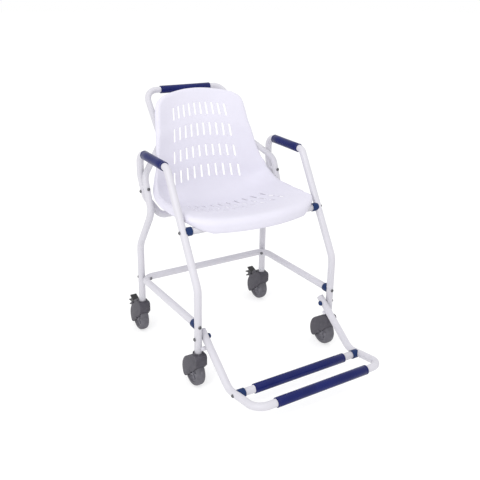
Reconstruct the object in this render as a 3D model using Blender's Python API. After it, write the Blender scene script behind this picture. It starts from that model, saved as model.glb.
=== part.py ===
"""A wheeled shower chair on four swivel castors, with a one-piece bucket seat and a flip-up footrest.

World frame: metres, +Z up, the front of the chair faces -Y, +X is the sitter's left-hand side.
The origin lies on the floor, in the middle of the outline. Left and right are mirrored in x = 0.
"""

from math import atan2, cos, pi, radians, sin, sqrt, tan

import bmesh
import bpy
from mathutils import Matrix, Vector

# Tubes
TUBE_R = 0.0125
HANDLE_R = 0.0112
WALL = 0.0015
TUBE_SIDES = 10
GAP = 0.0003

# Front frame: front legs, arms and rear seat bar, bent from one tube
LEG_X = 0.2710
FRONT_LEG_Y = -0.1400
LEG_BOTTOM_Z = 0.1120
FRONT_KNEE_Z = 0.3500
ARM_FRONT = (0.0630, 0.7005)
ARM_REAR = (0.2755, 0.7065)
ARM_DROP_Z = 0.6250
DROP_END = (0.2670, 0.2480, 0.5530)
SEAT_BAR = (0.2220, 0.2260, 0.4840)

# Rear frame: rear legs and push handle, bent from one tube
REAR_LEG_Y = 0.2995
REAR_KNEE_Z = 0.3560
WAIST = (0.1935, 0.5080)
SHOULDER = (0.2395, 0.6300)
HANDLE_X = 0.1650
HANDLE_FOOT = (0.3220, 0.7280)
HANDLE_TOP = (0.4512, 0.8880)

# Lower frame and seat-front cross tube
LOWER_Z = 0.2245
LOWER_FRONT_Y = -0.1130
LOWER_CORNER_R = 0.0400
SEAT_TUBE_Z = 0.5140

# Footrest, in the plane of its side tubes
FOOT_X = 0.2450
PIVOT = (-0.1400, 0.1790)
FOOT_BEND = (-0.2930, 0.0660)
FOOT_FRONT = (-0.4496, 0.0890)
FOOT_STUB = 0.0240
FOOT_BAR_Y = -0.3345

# Castors, measured from the stem axis; they trail to the rear
WHEEL_R = 0.0500
WHEEL_TRAIL = 0.0220
HOOD_R = 0.0545
HOOD_HALF = 0.0210
POCKET_HALF = 0.0162
POCKET_R = 0.0522
HOOD_TOP_Z = 0.1265
COLLAR_TOP_Z = 0.1295
AXLE_R = 0.0050
PEDAL_Y = 0.0600
PEDAL_Z = 0.0975

# Sleeves
SLEEVE_R = 0.0158
HANDLE_SLEEVE_R = 0.0142

# Seat shell
SHELL_T = 0.0040
SLOT_W = 0.0070
SLOTS_PER_ROW = 10


def clear_scene():
    for obj in list(bpy.data.objects):
        bpy.data.objects.remove(obj, do_unlink=True)


def material(name, colour, roughness, metallic=0.0):
    made = bpy.data.materials.new(name)
    made.use_nodes = True
    shader = made.node_tree.nodes["Principled BSDF"]
    shader.inputs["Base Color"].default_value = (*colour, 1.0)
    shader.inputs["Roughness"].default_value = roughness
    shader.inputs["Metallic"].default_value = metallic
    return made


def add_object(name, bm, mat, smooth_angle=40.0):
    """Make one node from a bmesh, with its faces turned outward."""
    bmesh.ops.remove_doubles(bm, verts=bm.verts, dist=1e-6)
    bmesh.ops.recalc_face_normals(bm, faces=bm.faces)
    mesh = bpy.data.meshes.new(name)
    bm.to_mesh(mesh)
    bm.free()
    obj = bpy.data.objects.new(name, mesh)
    bpy.context.scene.collection.objects.link(obj)
    mesh.materials.append(mat)
    shade(obj, smooth_angle)
    return obj


def shade(obj, smooth_angle=40.0):
    mesh = obj.data
    bm = bmesh.new()
    bm.from_mesh(mesh)
    for face in bm.faces:
        face.smooth = True
    for edge in bm.edges:
        edge.smooth = len(edge.link_faces) == 2 and edge.calc_face_angle(pi) < radians(smooth_angle)
    bm.to_mesh(mesh)
    bm.free()


def combine(obj, others, operation):
    """Apply one exact Boolean with the given objects, then remove them."""
    for other in others:
        modifier = obj.modifiers.new("cut", "BOOLEAN")
        modifier.operation = operation
        modifier.solver = "EXACT"
        modifier.object = other
    bpy.context.view_layer.update()
    graph = bpy.context.evaluated_depsgraph_get()
    mesh = bpy.data.meshes.new_from_object(obj.evaluated_get(graph))
    obj.modifiers.clear()
    obj.data = mesh
    for other in others:
        bpy.data.objects.remove(other, do_unlink=True)
    bm = bmesh.new()
    bm.from_mesh(mesh)
    bmesh.ops.remove_doubles(bm, verts=bm.verts, dist=2e-6)
    bmesh.ops.dissolve_degenerate(bm, edges=bm.edges, dist=2e-6)
    bm.to_mesh(mesh)
    bm.free()
    shade(obj)
    return obj


def frame_of(direction, hint=Vector((0.0, 0.0, 1.0))):
    """Two unit vectors square to a direction and to each other."""
    along = direction.normalized()
    if abs(along.dot(hint)) > 0.95:
        hint = Vector((1.0, 0.0, 0.0))
    side = along.cross(hint).normalized()
    return side, side.cross(along).normalized()


def ring(bm, centre, side, up, radius, count, turn=0.0):
    return [
        bm.verts.new(centre + radius * (cos(turn + 2 * pi * k / count) * side + sin(turn + 2 * pi * k / count) * up))
        for k in range(count)
    ]


def bridge(bm, first, second):
    count = len(first)
    for k in range(count):
        after = (k + 1) % count
        bm.faces.new((first[k], first[after], second[after], second[k]))


def fillet(points, radii, step=20.0):
    """Round the inner corners of a polyline with arcs, and give back the points along it."""
    path = [points[0]]
    for before, corner, after, radius in zip(points, points[1:], points[2:], radii):
        back = (before - corner).normalized()
        ahead = (after - corner).normalized()
        turn = pi - back.angle(ahead)
        if turn < 1e-3:
            continue
        reach = radius * tan(turn / 2)
        centre = corner + (back + ahead).normalized() * (radius / cos(turn / 2))
        start = corner + back * reach
        axis = (start - centre).cross(corner + ahead * reach - centre).normalized()
        count = max(2, round(turn / radians(step)))
        for k in range(count + 1):
            path.append(centre + Matrix.Rotation(turn * k / count, 3, axis) @ (start - centre))
    path.append(points[-1])
    return path


def sweep_rings(bm, path, radius_at, count):
    """Rings of one tube surface along a path, carried without twist."""
    rings = []
    tangent = (path[1] - path[0]).normalized()
    side, up = frame_of(tangent, Vector((0.0, 1.0, 0.0)))
    for k, point in enumerate(path):
        if k == 0:
            ahead = path[1] - path[0]
        elif k == len(path) - 1:
            ahead = path[-1] - path[-2]
        else:
            ahead = (path[k] - path[k - 1]).normalized() + (path[k + 1] - path[k]).normalized()
        ahead = ahead.normalized()
        spin = tangent.rotation_difference(ahead)
        side = spin @ side
        up = spin @ up
        tangent = ahead
        rings.append(ring(bm, point, side, up, radius_at(point), count))
    return rings


def tube(name, path, mat, radius=TUBE_R, wall=WALL, count=TUBE_SIDES, radius_at=None):
    """An open-ended hollow tube along a path."""
    bm = bmesh.new()
    outside = radius_at or (lambda point: radius)
    outer = sweep_rings(bm, path, outside, count)
    inner = sweep_rings(bm, path, lambda point: outside(point) - wall, count)
    for layer in (outer, inner):
        for first, second in zip(layer, layer[1:]):
            bridge(bm, first, second)
    bridge(bm, outer[0], inner[0])
    bridge(bm, outer[-1], inner[-1])
    return add_object(name, bm, mat)


def lathe(name, origin, direction, profile, mat, count=12, closed=True, turn=0.0):
    """Turn (distance along, radius) points about an axis. A radius of zero closes the end."""
    bm = bmesh.new()
    along = Vector(direction).normalized()
    side, up = frame_of(along)
    base = Vector(origin)
    rings = []
    for distance, radius in profile:
        centre = base + along * distance
        if radius == 0.0:
            rings.append([bm.verts.new(centre)])
        else:
            rings.append(ring(bm, centre, side, up, radius, count, turn))
    pairs = list(zip(rings, rings[1:]))
    if closed:
        pairs.append((rings[-1], rings[0]))
    for first, second in pairs:
        if len(first) == 1 and len(second) == 1:
            continue
        if len(first) == 1 or len(second) == 1:
            tip, loop = (first[0], second) if len(first) == 1 else (second[0], first)
            for k in range(count):
                bm.faces.new((tip, loop[k], loop[(k + 1) % count]))
        else:
            bridge(bm, first, second)
    return add_object(name, bm, mat)


def cylinder(name, start, end, radius, mat, count=12, turn=0.0):
    start = Vector(start)
    end = Vector(end)
    length = (end - start).length
    profile = [(0.0, 0.0), (0.0, radius), (length, radius), (length, 0.0)]
    return lathe(name, start, end - start, profile, mat, count, False, turn)


def prism(name, outline, low, high, mat):
    """Extrude an outline of (y, z) points from x = low to x = high."""
    bm = bmesh.new()
    first = [bm.verts.new((low, y, z)) for y, z in outline]
    second = [bm.verts.new((high, y, z)) for y, z in outline]
    bm.faces.new(first)
    bm.faces.new(list(reversed(second)))
    bridge(bm, first, second)
    return add_object(name, bm, mat)


def place(obj, x, y, z=0.0):
    """Set the origin of an object built about the origin, and so its joint axis."""
    obj.location = (x, y, z)
    return obj


def both_sides():
    return (("left", 1.0), ("right", -1.0))


def mirrored(points):
    """Continue a half path, which ends at its highest x, onto the other side."""
    return points + [Vector((-p.x, p.y, p.z)) for p in reversed(points)]


# Materials

def make_materials():
    return {
        "steel_tube": ((0.80, 0.80, 0.84), 0.35),
        "shell": ((0.82, 0.81, 0.87), 0.45),
        "sleeve": ((0.012, 0.018, 0.130), 0.45),
        "saddle": ((0.010, 0.030, 0.090), 0.40),
        "white_plastic": ((0.78, 0.78, 0.82), 0.50),
        "castor": ((0.075, 0.072, 0.085), 0.55),
        "wheel": ((0.085, 0.083, 0.095), 0.60),
        "pedal": ((0.012, 0.012, 0.014), 0.50),
        "bolt": ((0.10, 0.10, 0.11), 0.45),
        "stem": ((0.45, 0.45, 0.47), 0.35),
    }


def own(name, kind):
    """A material of its own for one node."""
    colour, roughness = make_materials()[kind]
    metallic = 1.0 if kind in ("bolt", "stem") else 0.0
    return material("mat_" + name, colour, roughness, metallic)


# Paths

def arm_path():
    half = [
        Vector((LEG_X, FRONT_LEG_Y, LEG_BOTTOM_Z)),
        Vector((LEG_X, FRONT_LEG_Y, FRONT_KNEE_Z)),
        Vector((LEG_X, *ARM_FRONT)),
        Vector((LEG_X, *ARM_REAR)),
        Vector((LEG_X, ARM_REAR[0], ARM_DROP_Z)),
        Vector(DROP_END),
        Vector(SEAT_BAR),
    ]
    radii = [0.060, 0.028, 0.036, 0.060, 0.050, 0.036]
    return fillet(mirrored(half), radii + radii[::-1], 28.0)


def back_path():
    half = [
        Vector((LEG_X, REAR_LEG_Y, LEG_BOTTOM_Z)),
        Vector((LEG_X, REAR_LEG_Y, REAR_KNEE_Z)),
        Vector((LEG_X, *WAIST)),
        Vector((LEG_X, *SHOULDER)),
        Vector((HANDLE_X, *HANDLE_FOOT)),
        Vector((HANDLE_X, *HANDLE_TOP)),
    ]
    radii = [0.075, 0.060, 0.055, 0.060, 0.045]
    return fillet(mirrored(half), radii + radii[::-1], 25.0)


def back_radius(point):
    """The rear tube is drawn down from leg size to handle size above the waist."""
    share = min(1.0, max(0.0, (point.z - 0.50) / 0.08))
    return TUBE_R + (HANDLE_R - TUBE_R) * share


def lower_corner():
    """Where the corner of the lower frame nests against the rear leg, and the direction of its bolt."""
    reach = 2 * TUBE_R + GAP * 2
    turn = LOWER_CORNER_R / (reach + LOWER_CORNER_R)
    away = Vector((turn, sqrt(1.0 - turn * turn), 0.0))
    cross_y = REAR_LEG_Y - (reach + LOWER_CORNER_R) * away.y + LOWER_CORNER_R
    return away, cross_y


def lower_path():
    cross_y = lower_corner()[1]
    half = [
        Vector((LEG_X, LOWER_FRONT_Y, LOWER_Z)),
        Vector((LEG_X, cross_y, LOWER_Z)),
    ]
    return fillet(mirrored(half), [LOWER_CORNER_R] * 2, 24.0)


def lean():
    """Direction of the front tube above its knee."""
    low = Vector((0.0, FRONT_LEG_Y, FRONT_KNEE_Z))
    return (Vector((0.0, *ARM_FRONT)) - low).normalized()


def seat_tube_y():
    slope = lean()
    return FRONT_LEG_Y + (SEAT_TUBE_Z - FRONT_KNEE_Z) * slope.y / slope.z


def foot_directions():
    pivot = Vector((0.0, *PIVOT))
    bend = Vector((0.0, *FOOT_BEND))
    front = Vector((0.0, *FOOT_FRONT))
    return (bend - pivot).normalized(), (front - bend).normalized()


def foot_path():
    pivot = Vector((FOOT_X, *PIVOT))
    down = foot_directions()[0]
    half = [
        pivot - down * FOOT_STUB,
        Vector((FOOT_X, *FOOT_BEND)),
        Vector((FOOT_X, *FOOT_FRONT)),
    ]
    return fillet(mirrored(half), [0.055, 0.045, 0.045, 0.055], 24.0)


def foot_bar_z():
    slope = foot_directions()[1]
    return FOOT_BEND[1] + (FOOT_BAR_Y - FOOT_BEND[0]) * slope.z / slope.y


def point_at_z(path, z, side):
    """The point of a tube path at a height above the seat bar, on one side, with its direction."""
    for first, second in zip(path, path[1:]):
        if first.x * side > 0.2 and min(first.z, second.z) <= z <= max(first.z, second.z):
            if abs(second.z - first.z) > 1e-6 and first.y > 0.15:
                share = (z - first.z) / (second.z - first.z)
                return first.lerp(second, share), (second - first).normalized()
    return None


# Fasteners

def screw(name, head_at, direction, length, shank_r=0.0030, head_r=0.0060):
    """A dome-headed screw: the head lies outside, the shank runs along the direction."""
    profile = [
        (-0.0036, 0.0),
        (-0.0036, head_r * 0.45),
        (-0.0022, head_r * 0.85),
        (0.0, head_r),
        (0.0, shank_r),
        (length, shank_r),
        (length, 0.0),
    ]
    return lathe(name, head_at, direction, profile, own(name, "bolt"), 10, False)


def through_bolt(name, head_at, direction, grip, shank_r=0.0030, head_r=0.0060):
    """A bolt and its cap nut, with the clamped pieces between them."""
    profile = [
        (-0.0036, 0.0),
        (-0.0036, head_r * 0.45),
        (-0.0022, head_r * 0.85),
        (0.0, head_r),
        (0.0, shank_r),
        (grip, shank_r),
        (grip, head_r),
        (grip + 0.0026, head_r * 0.9),
        (grip + 0.0040, head_r * 0.4),
        (grip + 0.0040, 0.0),
    ]
    return lathe(name, head_at, direction, profile, own(name, "bolt"), 10, False)


def hole(at, direction, length, radius=0.0034):
    at = Vector(at)
    along = Vector(direction).normalized()
    return cylinder("cutter", at - along * length / 2, at + along * length / 2, radius, CUTTER, 8, 0.1)


def saddle(name, at, direction, crossed, depth, end=0.034):
    """A moulded saddle that plugs a tube end and cups the tube it is bolted to."""
    start = 0.0050
    seat = 0.0255
    profile = [
        (start, 0.0036),
        (start, 0.0148),
        (end, 0.0148),
        (end, TUBE_R + 0.0005),
        (seat, TUBE_R + 0.0005),
        (seat, TUBE_R - WALL - 0.0007),
        (depth, TUBE_R - WALL - 0.0007),
        (depth, 0.0036),
    ]
    body = lathe(name, at, direction, profile, own(name, "saddle"), 14)
    along = Vector(crossed).normalized()
    cutter = cylinder("cutter", Vector(at) - along * 0.03, Vector(at) + along * 0.03, TUBE_R + 0.0006, CUTTER, 18)
    return combine(body, [cutter], "DIFFERENCE")


def sleeve(name, start, end, bore, radius, count=14):
    """A tight sleeve over a straight tube, with softened ends."""
    start = Vector(start)
    end = Vector(end)
    length = (end - start).length
    edge = 0.0012
    profile = [
        (0.0, bore),
        (0.0, radius - edge),
        (edge, radius),
        (length - edge, radius),
        (length, radius - edge),
        (length, bore),
    ]
    return lathe(name, start, end - start, profile, own(name, "sleeve"), count)


# Frame

def make_frame():
    arms = tube("arm_frame", arm_path(), own("arm_frame", "steel_tube"))
    back = tube("back_frame", back_path(), own("back_frame", "steel_tube"), radius_at=back_radius)
    lower = tube("lower_frame", lower_path(), own("lower_frame", "steel_tube"))
    y = seat_tube_y()
    reach = LEG_X - 0.0260
    ends = [Vector((reach, y, SEAT_TUBE_Z)), Vector((-reach, y, SEAT_TUBE_Z))]
    tube("seat_front_tube", ends, own("seat_front_tube", "steel_tube"))
    arm_cuts = []
    back_cuts = []
    lower_cuts = []
    away = lower_corner()[0]
    for _, side in both_sides():
        x = side * LEG_X
        arm_cuts.append(hole((x, y, SEAT_TUBE_Z), (1, 0, 0), 0.034))
        arm_cuts.append(hole((x, FRONT_LEG_Y, LOWER_Z), (0, 1, 0), 0.034))
        arm_cuts.append(hole((x, *PIVOT), (1, 0, 0), 0.034, 0.0044))
        arm_at, back_at = joint_points(side)
        middle = (arm_at + back_at) / 2
        arm_cuts.append(hole(Vector((x, arm_at.y, middle.z)), (0, 1, 0), 0.034))
        back_cuts.append(hole(Vector((x, back_at.y, middle.z)), (0, 1, 0), 0.034))
        drop = drop_point(side)
        arm_cuts.append(hole(drop, (1, 0, 0), 0.034))
        outward = Vector((side * away.x, away.y, 0.0))
        leg = Vector((x, REAR_LEG_Y, LOWER_Z))
        back_cuts.append(hole(leg, outward, 0.034))
        lower_cuts.append(hole(leg - outward * (2 * TUBE_R + 2 * GAP), outward, 0.034))
    combine(arms, arm_cuts, "DIFFERENCE")
    combine(back, back_cuts, "DIFFERENCE")
    combine(lower, lower_cuts, "DIFFERENCE")


JOINT_Z = 0.5900
DROP_BOLT_Z = 0.5720


def joint_points(side):
    """Where the joint bolt crosses the arm tube and the rear tube, both on x = leg line."""
    arm_at = point_at_z(arm_path(), JOINT_Z, side)[0]
    back_at = point_at_z(back_path(), JOINT_Z, side)[0]
    return arm_at, back_at


def drop_point(side):
    return point_at_z(arm_path(), DROP_BOLT_Z, side)[0]


def make_joints():
    y = seat_tube_y()
    away = lower_corner()[0]
    leg_line = (0.0, 0.0, 1.0)
    for label, side in both_sides():
        x = side * LEG_X
        outer = side * (TUBE_R + GAP)
        across = (-side, 0.0, 0.0)
        saddle("seat_saddle_" + label, (x, y, SEAT_TUBE_Z), across, lean(), 0.042)
        screw("seat_bolt_" + label, (x + outer, y, SEAT_TUBE_Z), across, 0.048)
        saddle("lower_saddle_" + label, (x, FRONT_LEG_Y, LOWER_Z), (0, 1, 0), leg_line, 0.042)
        screw("lower_bolt_" + label, (x, FRONT_LEG_Y - TUBE_R - GAP, LOWER_Z), (0, 1, 0), 0.048)
        outward = Vector((side * away.x, away.y, 0.0))
        head = Vector((x, REAR_LEG_Y, LOWER_Z)) + outward * (TUBE_R + GAP)
        through_bolt("corner_bolt_" + label, head, -outward, 4 * TUBE_R + 6 * GAP)
        make_joint_bolt(label, side)
        drop = drop_point(side)
        grip = 2 * (TUBE_R + 2 * GAP)
        through_bolt("drop_bolt_" + label, drop + Vector((side * grip / 2, 0, 0)), across, grip)


def make_joint_bolt(label, side):
    arm_at, back_at = joint_points(side)
    arm_dir = point_at_z(arm_path(), JOINT_Z, side)[1]
    back_dir = point_at_z(back_path(), JOINT_Z, side)[1]
    x = side * LEG_X
    front = back_at.y - 0.0152
    rear = arm_at.y + 0.0160
    through_bolt("joint_bolt_" + label, (x, front, JOINT_Z), (0, 1, 0), rear - front)
    start = back_at.y + 0.004
    length = arm_at.y - 0.004 - start
    name = "joint_spacer_" + label
    profile = [(0.0, 0.0036), (0.0, 0.0075), (length, 0.0075), (length, 0.0036)]
    body = lathe(name, (x, start, JOINT_Z), (0, 1, 0), profile, own(name, "white_plastic"), 12)
    cuts = []
    for at, along, radius in ((arm_at, arm_dir, TUBE_R), (back_at, back_dir, back_radius(back_at))):
        cuts.append(cylinder("cutter", at - along * 0.03, at + along * 0.03, radius + 0.0007, CUTTER, 16))
    combine(body, cuts, "DIFFERENCE")


def make_sleeves():
    bore = (TUBE_R + GAP) / cos(pi / 14) + 0.0001
    thin_bore = (HANDLE_R + GAP) / cos(pi / 14) + 0.0001
    front = Vector((LEG_X, *ARM_FRONT))
    rear = Vector((LEG_X, *ARM_REAR))
    along = (rear - front).normalized()
    for label, side in both_sides():
        start = front + along * 0.0175
        end = rear - along * 0.0375
        start.x *= side
        end.x *= side
        sleeve("arm_grip_" + label, start, end, bore, SLEEVE_R)
    y, z = HANDLE_TOP
    sleeve("handle_sleeve", (0.104, y, z), (-0.104, y, z), thin_bore, HANDLE_SLEEVE_R)


# Footrest

def make_footrest():
    frame = tube("footrest_frame", foot_path(), own("footrest_frame", "steel_tube"))
    bar_z = foot_bar_z()
    cuts = []
    for _, side in both_sides():
        cuts.append(hole((side * FOOT_X, *PIVOT), (1, 0, 0), 0.034, 0.0045))
        cuts.append(hole((side * FOOT_X, FOOT_BAR_Y, bar_z), (1, 0, 0), 0.034))
    combine(frame, cuts, "DIFFERENCE")
    reach = FOOT_X - 0.0260
    ends = [Vector((reach, FOOT_BAR_Y, bar_z)), Vector((-reach, FOOT_BAR_Y, bar_z))]
    tube("footrest_bar", ends, own("footrest_bar", "steel_tube"))
    bore = (TUBE_R + GAP) / cos(pi / 14) + 0.0001
    y, z = FOOT_FRONT
    sleeve("footrest_sleeve_front", (0.177, y, z), (-0.177, y, z), bore, SLEEVE_R)
    sleeve("footrest_sleeve_rear", (0.180, FOOT_BAR_Y, bar_z), (-0.180, FOOT_BAR_Y, bar_z), bore, SLEEVE_R)
    down, along = foot_directions()
    for label, side in both_sides():
        x = side * FOOT_X
        across = (-side, 0.0, 0.0)
        saddle("footrest_saddle_" + label, (x, FOOT_BAR_Y, bar_z), across, along, 0.040)
        screw("footrest_bolt_" + label, (x + side * (TUBE_R + GAP), FOOT_BAR_Y, bar_z), across, 0.046)
        end = Vector((x, *PIVOT)) - down * FOOT_STUB
        plug = TUBE_R - WALL - 0.0007
        profile = [(-0.0100, 0.0), (-0.0100, plug), (GAP, plug), (GAP, TUBE_R), (0.0020, TUBE_R), (0.0032, 0.0095)]
        profile.append((0.0032, 0.0))
        name = "footrest_cap_" + label
        lathe(name, end, -down, profile, own(name, "white_plastic"), 12, False)
        make_pivot(label, side)
        make_stop(label, side, down)


def make_pivot(label, side):
    """The footrest turns on a long screw through the leg, closed by a cap on the inner side."""
    outer = side * (LEG_X + TUBE_R + GAP)
    inner = FOOT_X - TUBE_R - 0.0006
    length = LEG_X + TUBE_R + GAP - inner + 0.0035
    screw("pivot_bolt_" + label, (outer, *PIVOT), (-side, 0, 0), length, 0.0038, 0.0065)
    name = "pivot_cap_" + label
    profile = [
        (0.0, 0.0044),
        (0.0, 0.0090),
        (0.0045, 0.0084),
        (0.0068, 0.0055),
        (0.0068, 0.0),
        (0.0042, 0.0),
        (0.0042, 0.0044),
    ]
    lathe(name, (side * inner, *PIVOT), (-side, 0, 0), profile, own(name, "saddle"), 14)


def make_stop(label, side, down):
    """A peg on the leg that the footrest tube rests on."""
    back_down = Vector((0.0, -down.z, down.y))
    at = Vector((0.0, *PIVOT)) + down * 0.0300 + back_down * (TUBE_R + 0.0070 + 0.0004)
    name = "footrest_stop_" + label
    start = (side * (LEG_X - 0.004), at.y, at.z)
    end = (side * (LEG_X - 0.034), at.y, at.z)
    peg = cylinder(name, start, end, 0.0070, own(name, "white_plastic"), 12)
    leg = cylinder(
        "cutter", (side * LEG_X, FRONT_LEG_Y, 0.10), (side * LEG_X, FRONT_LEG_Y, 0.20), TUBE_R + 0.0006, CUTTER, 18
    )
    combine(peg, [leg], "DIFFERENCE")


# Castors

def hood_outline():
    arc = []
    for angle in (66, 50, 34, 18, 2, -14, -26):
        turn = radians(angle)
        arc.append((WHEEL_TRAIL + HOOD_R * cos(turn), WHEEL_R + HOOD_R * sin(turn)))
    front = [
        (-0.0240, 0.0890),
        (-0.0245, 0.1170),
        (-0.0205, 0.1240),
        (-0.0150, HOOD_TOP_Z),
        (0.0060, HOOD_TOP_Z),
        (0.0230, 0.1145),
    ]
    under = [
        (0.0520, 0.0255),
        (0.0400, 0.0290),
        (0.0300, 0.0360),
        (0.0120, 0.0550),
        (-0.0040, 0.0730),
        (-0.0140, 0.0840),
    ]
    return front + arc + under


def pocket_outline():
    arc = []
    for k in range(13):
        turn = pi * k / 12
        arc.append((WHEEL_TRAIL + POCKET_R * cos(turn), WHEEL_R + POCKET_R * sin(turn)))
    return arc + [(WHEEL_TRAIL - POCKET_R, -0.01), (WHEEL_TRAIL + POCKET_R, -0.01)]


def make_hood(name, x, y, braked):
    mat = own(name, "castor")
    hood = prism(name, hood_outline(), -HOOD_HALF, HOOD_HALF, mat)
    combine(hood, [cylinder("part", (0, 0, 0.100), (0, 0, COLLAR_TOP_Z), 0.0185, mat, 16)], "UNION")
    cuts = [
        prism("cutter", pocket_outline(), -POCKET_HALF, POCKET_HALF, CUTTER),
        cylinder("cutter", (0, 0, 0.1085), (0, 0, 0.140), 0.0148, CUTTER, 16),
        cylinder("cutter", (0, 0, 0.0995), (0, 0, 0.120), 0.0066, CUTTER, 12),
    ]
    combine(hood, cuts, "DIFFERENCE")
    reach = POCKET_HALF + 0.0015
    parts = [cylinder("part", (-reach, WHEEL_TRAIL, WHEEL_R), (reach, WHEEL_TRAIL, WHEEL_R), AXLE_R, mat, 12)]
    if braked:
        for sign in (-1, 1):
            ear = [
                (PEDAL_Y - 0.0060, PEDAL_Z),
                (PEDAL_Y - 0.0035, PEDAL_Z + 0.0048),
                (PEDAL_Y + 0.0035, PEDAL_Z + 0.0048),
                (PEDAL_Y + 0.0060, PEDAL_Z),
                (PEDAL_Y + 0.0060, 0.0780),
                (PEDAL_Y - 0.0060, 0.0840),
            ]
            parts.append(prism("part", ear, sign * 0.0192, sign * 0.0164, mat))
        parts.append(cylinder("part", (-0.0180, PEDAL_Y, PEDAL_Z), (0.0180, PEDAL_Y, PEDAL_Z), 0.0022, mat, 8))
    combine(hood, parts, "UNION")
    return place(hood, x, y)


def make_wheel(name, x, y):
    half = 0.0148
    profile = [
        (-half, AXLE_R + 0.0006),
        (-half, 0.0130),
        (-0.0095, 0.0250),
        (-0.0135, 0.0380),
        (-0.0130, 0.0460),
        (-0.0060, WHEEL_R),
        (0.0060, WHEEL_R),
        (0.0130, 0.0460),
        (0.0135, 0.0380),
        (0.0095, 0.0250),
        (half, 0.0130),
        (half, AXLE_R + 0.0006),
    ]
    wheel = lathe(name, (0, 0, 0), (1, 0, 0), profile, own(name, "wheel"), 20)
    return place(wheel, x, y + WHEEL_TRAIL, WHEEL_R)


def make_stem(name, x, y):
    """The swivel pin: a plug in the leg, a flange under its end and a pin in the hood."""
    profile = [
        (0.1002, 0.0),
        (0.1002, 0.0060),
        (0.1090, 0.0060),
        (0.1090, 0.0120),
        (LEG_BOTTOM_Z - GAP, 0.0120),
        (LEG_BOTTOM_Z - GAP, 0.0103),
        (0.1480, 0.0103),
        (0.1500, 0.0088),
        (0.1500, 0.0),
    ]
    stem = lathe(name, (0, 0, 0), (0, 0, 1), profile, own(name, "stem"), 12, False)
    return place(stem, x, y)


def make_pedal(name, x, y):
    outline = [
        (-0.0050, 0.0010),
        (-0.0035, 0.0045),
        (0.0010, 0.0090),
        (0.0280, 0.0185),
        (0.0310, 0.0150),
        (0.0200, 0.0075),
        (0.0450, -0.0055),
        (0.0455, -0.0095),
        (0.0240, -0.0050),
        (0.0260, -0.0130),
        (0.0410, -0.0225),
        (0.0400, -0.0265),
        (0.0200, -0.0180),
        (0.0100, -0.0060),
        (0.0020, -0.0052),
        (-0.0030, -0.0042),
    ]
    mat = own(name, "pedal")
    pedal = prism(name, outline, -0.0125, 0.0125, mat)
    combine(pedal, [cylinder("cutter", (-0.02, 0, 0), (0.02, 0, 0), 0.0027, CUTTER, 12)], "DIFFERENCE")
    return place(pedal, x, y + PEDAL_Y, PEDAL_Z)


def make_castors():
    for row, y in (("front", FRONT_LEG_Y), ("rear", REAR_LEG_Y)):
        for label, side in both_sides():
            x = side * LEG_X
            tag = row + "_" + label
            make_stem("castor_stem_" + tag, x, y)
            make_hood("castor_hood_" + tag, x, y, row == "rear")
            make_wheel("castor_wheel_" + tag, x, y)
            if row == "rear":
                make_pedal("brake_pedal_" + label, x, y)


# Seat shell
# Each station across the shell: centre line y and z, half width of the flat part, slot pitch,
# and how far the cross-section bows in y and z per square metre of x, then the lift of its outer ends.
STATIONS = (
    # y, z, half width, pitch, bow y, bow z, side y, side z
    (-0.0940, 0.5480, 0.175, 0.0345, 0.80, 0.10, 0.000, 0.000),
    (-0.0850, 0.5482, 0.209, 0.0375, 0.68, 0.12, 0.000, 0.000),
    (-0.0700, 0.5465, 0.232, 0.0390, 0.55, 0.20, 0.000, 0.000),
    (-0.0450, 0.5420, 0.239, 0.0395, 0.30, 0.32, 0.000, 0.000),
    (0.0000, 0.5350, 0.237, 0.0385, 0.10, 0.45, 0.000, 0.000),
    (0.0300, 0.5295, 0.238, 0.0380, -0.15, 0.58, 0.000, 0.000),
    (0.0720, 0.5210, 0.238, 0.0370, -0.40, 0.70, 0.000, 0.000),
    (0.0840, 0.5185, 0.238, 0.0365, -0.45, 0.74, 0.000, 0.000),
    (0.1240, 0.5120, 0.238, 0.0350, -0.65, 0.82, 0.000, 0.002),
    (0.1360, 0.5105, 0.238, 0.0345, -0.70, 0.84, 0.000, 0.003),
    (0.1760, 0.5075, 0.238, 0.0335, -0.85, 0.84, 0.000, 0.006),
    (0.2060, 0.5090, 0.238, 0.0328, -0.92, 0.76, -0.001, 0.010),
    (0.2320, 0.5160, 0.237, 0.0322, -0.96, 0.58, -0.003, 0.016),
    (0.2560, 0.5300, 0.235, 0.0317, -0.98, 0.25, -0.006, 0.028),
    (0.2760, 0.5510, 0.231, 0.0312, -1.00, -0.18, -0.010, 0.045),
    (0.2910, 0.5800, 0.226, 0.0308, -1.02, -0.60, -0.013, 0.058),
    (0.3010, 0.6250, 0.220, 0.0299, -1.07, -0.64, -0.013, 0.038),
    (0.3090, 0.6540, 0.213, 0.0287, -1.14, -0.66, -0.012, 0.020),
    (0.3180, 0.6960, 0.203, 0.0276, -1.22, -0.68, -0.009, 0.008),
    (0.3260, 0.7290, 0.196, 0.0265, -1.32, -0.72, -0.005, 0.000),
    (0.3350, 0.7750, 0.186, 0.0254, -1.42, -0.80, 0.000, 0.000),
    (0.3460, 0.8040, 0.179, 0.0245, -1.50, -0.86, 0.000, 0.000),
    (0.3600, 0.8470, 0.172, 0.0234, -1.62, -0.90, 0.000, 0.000),
    (0.3670, 0.8690, 0.167, 0.0230, -1.66, -0.92, 0.000, 0.000),
    (0.3710, 0.8820, 0.158, 0.0228, -1.68, -0.94, 0.000, 0.000),
    (0.3735, 0.8900, 0.138, 0.0226, -1.68, -0.94, 0.000, 0.000),
)
SLOT_STARTS = (5, 7, 9, 15, 17, 19, 21)
SIDE_FROM = 0.130
SIDE_TO = 0.235
ROLL_TURNS = (45.0, 90.0)
FRONT_ROLLS = ((0.0220, 0.0200), (0.0180, 0.0140), (0.0150, 0.0070), (0.0130, 0.0090))


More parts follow.
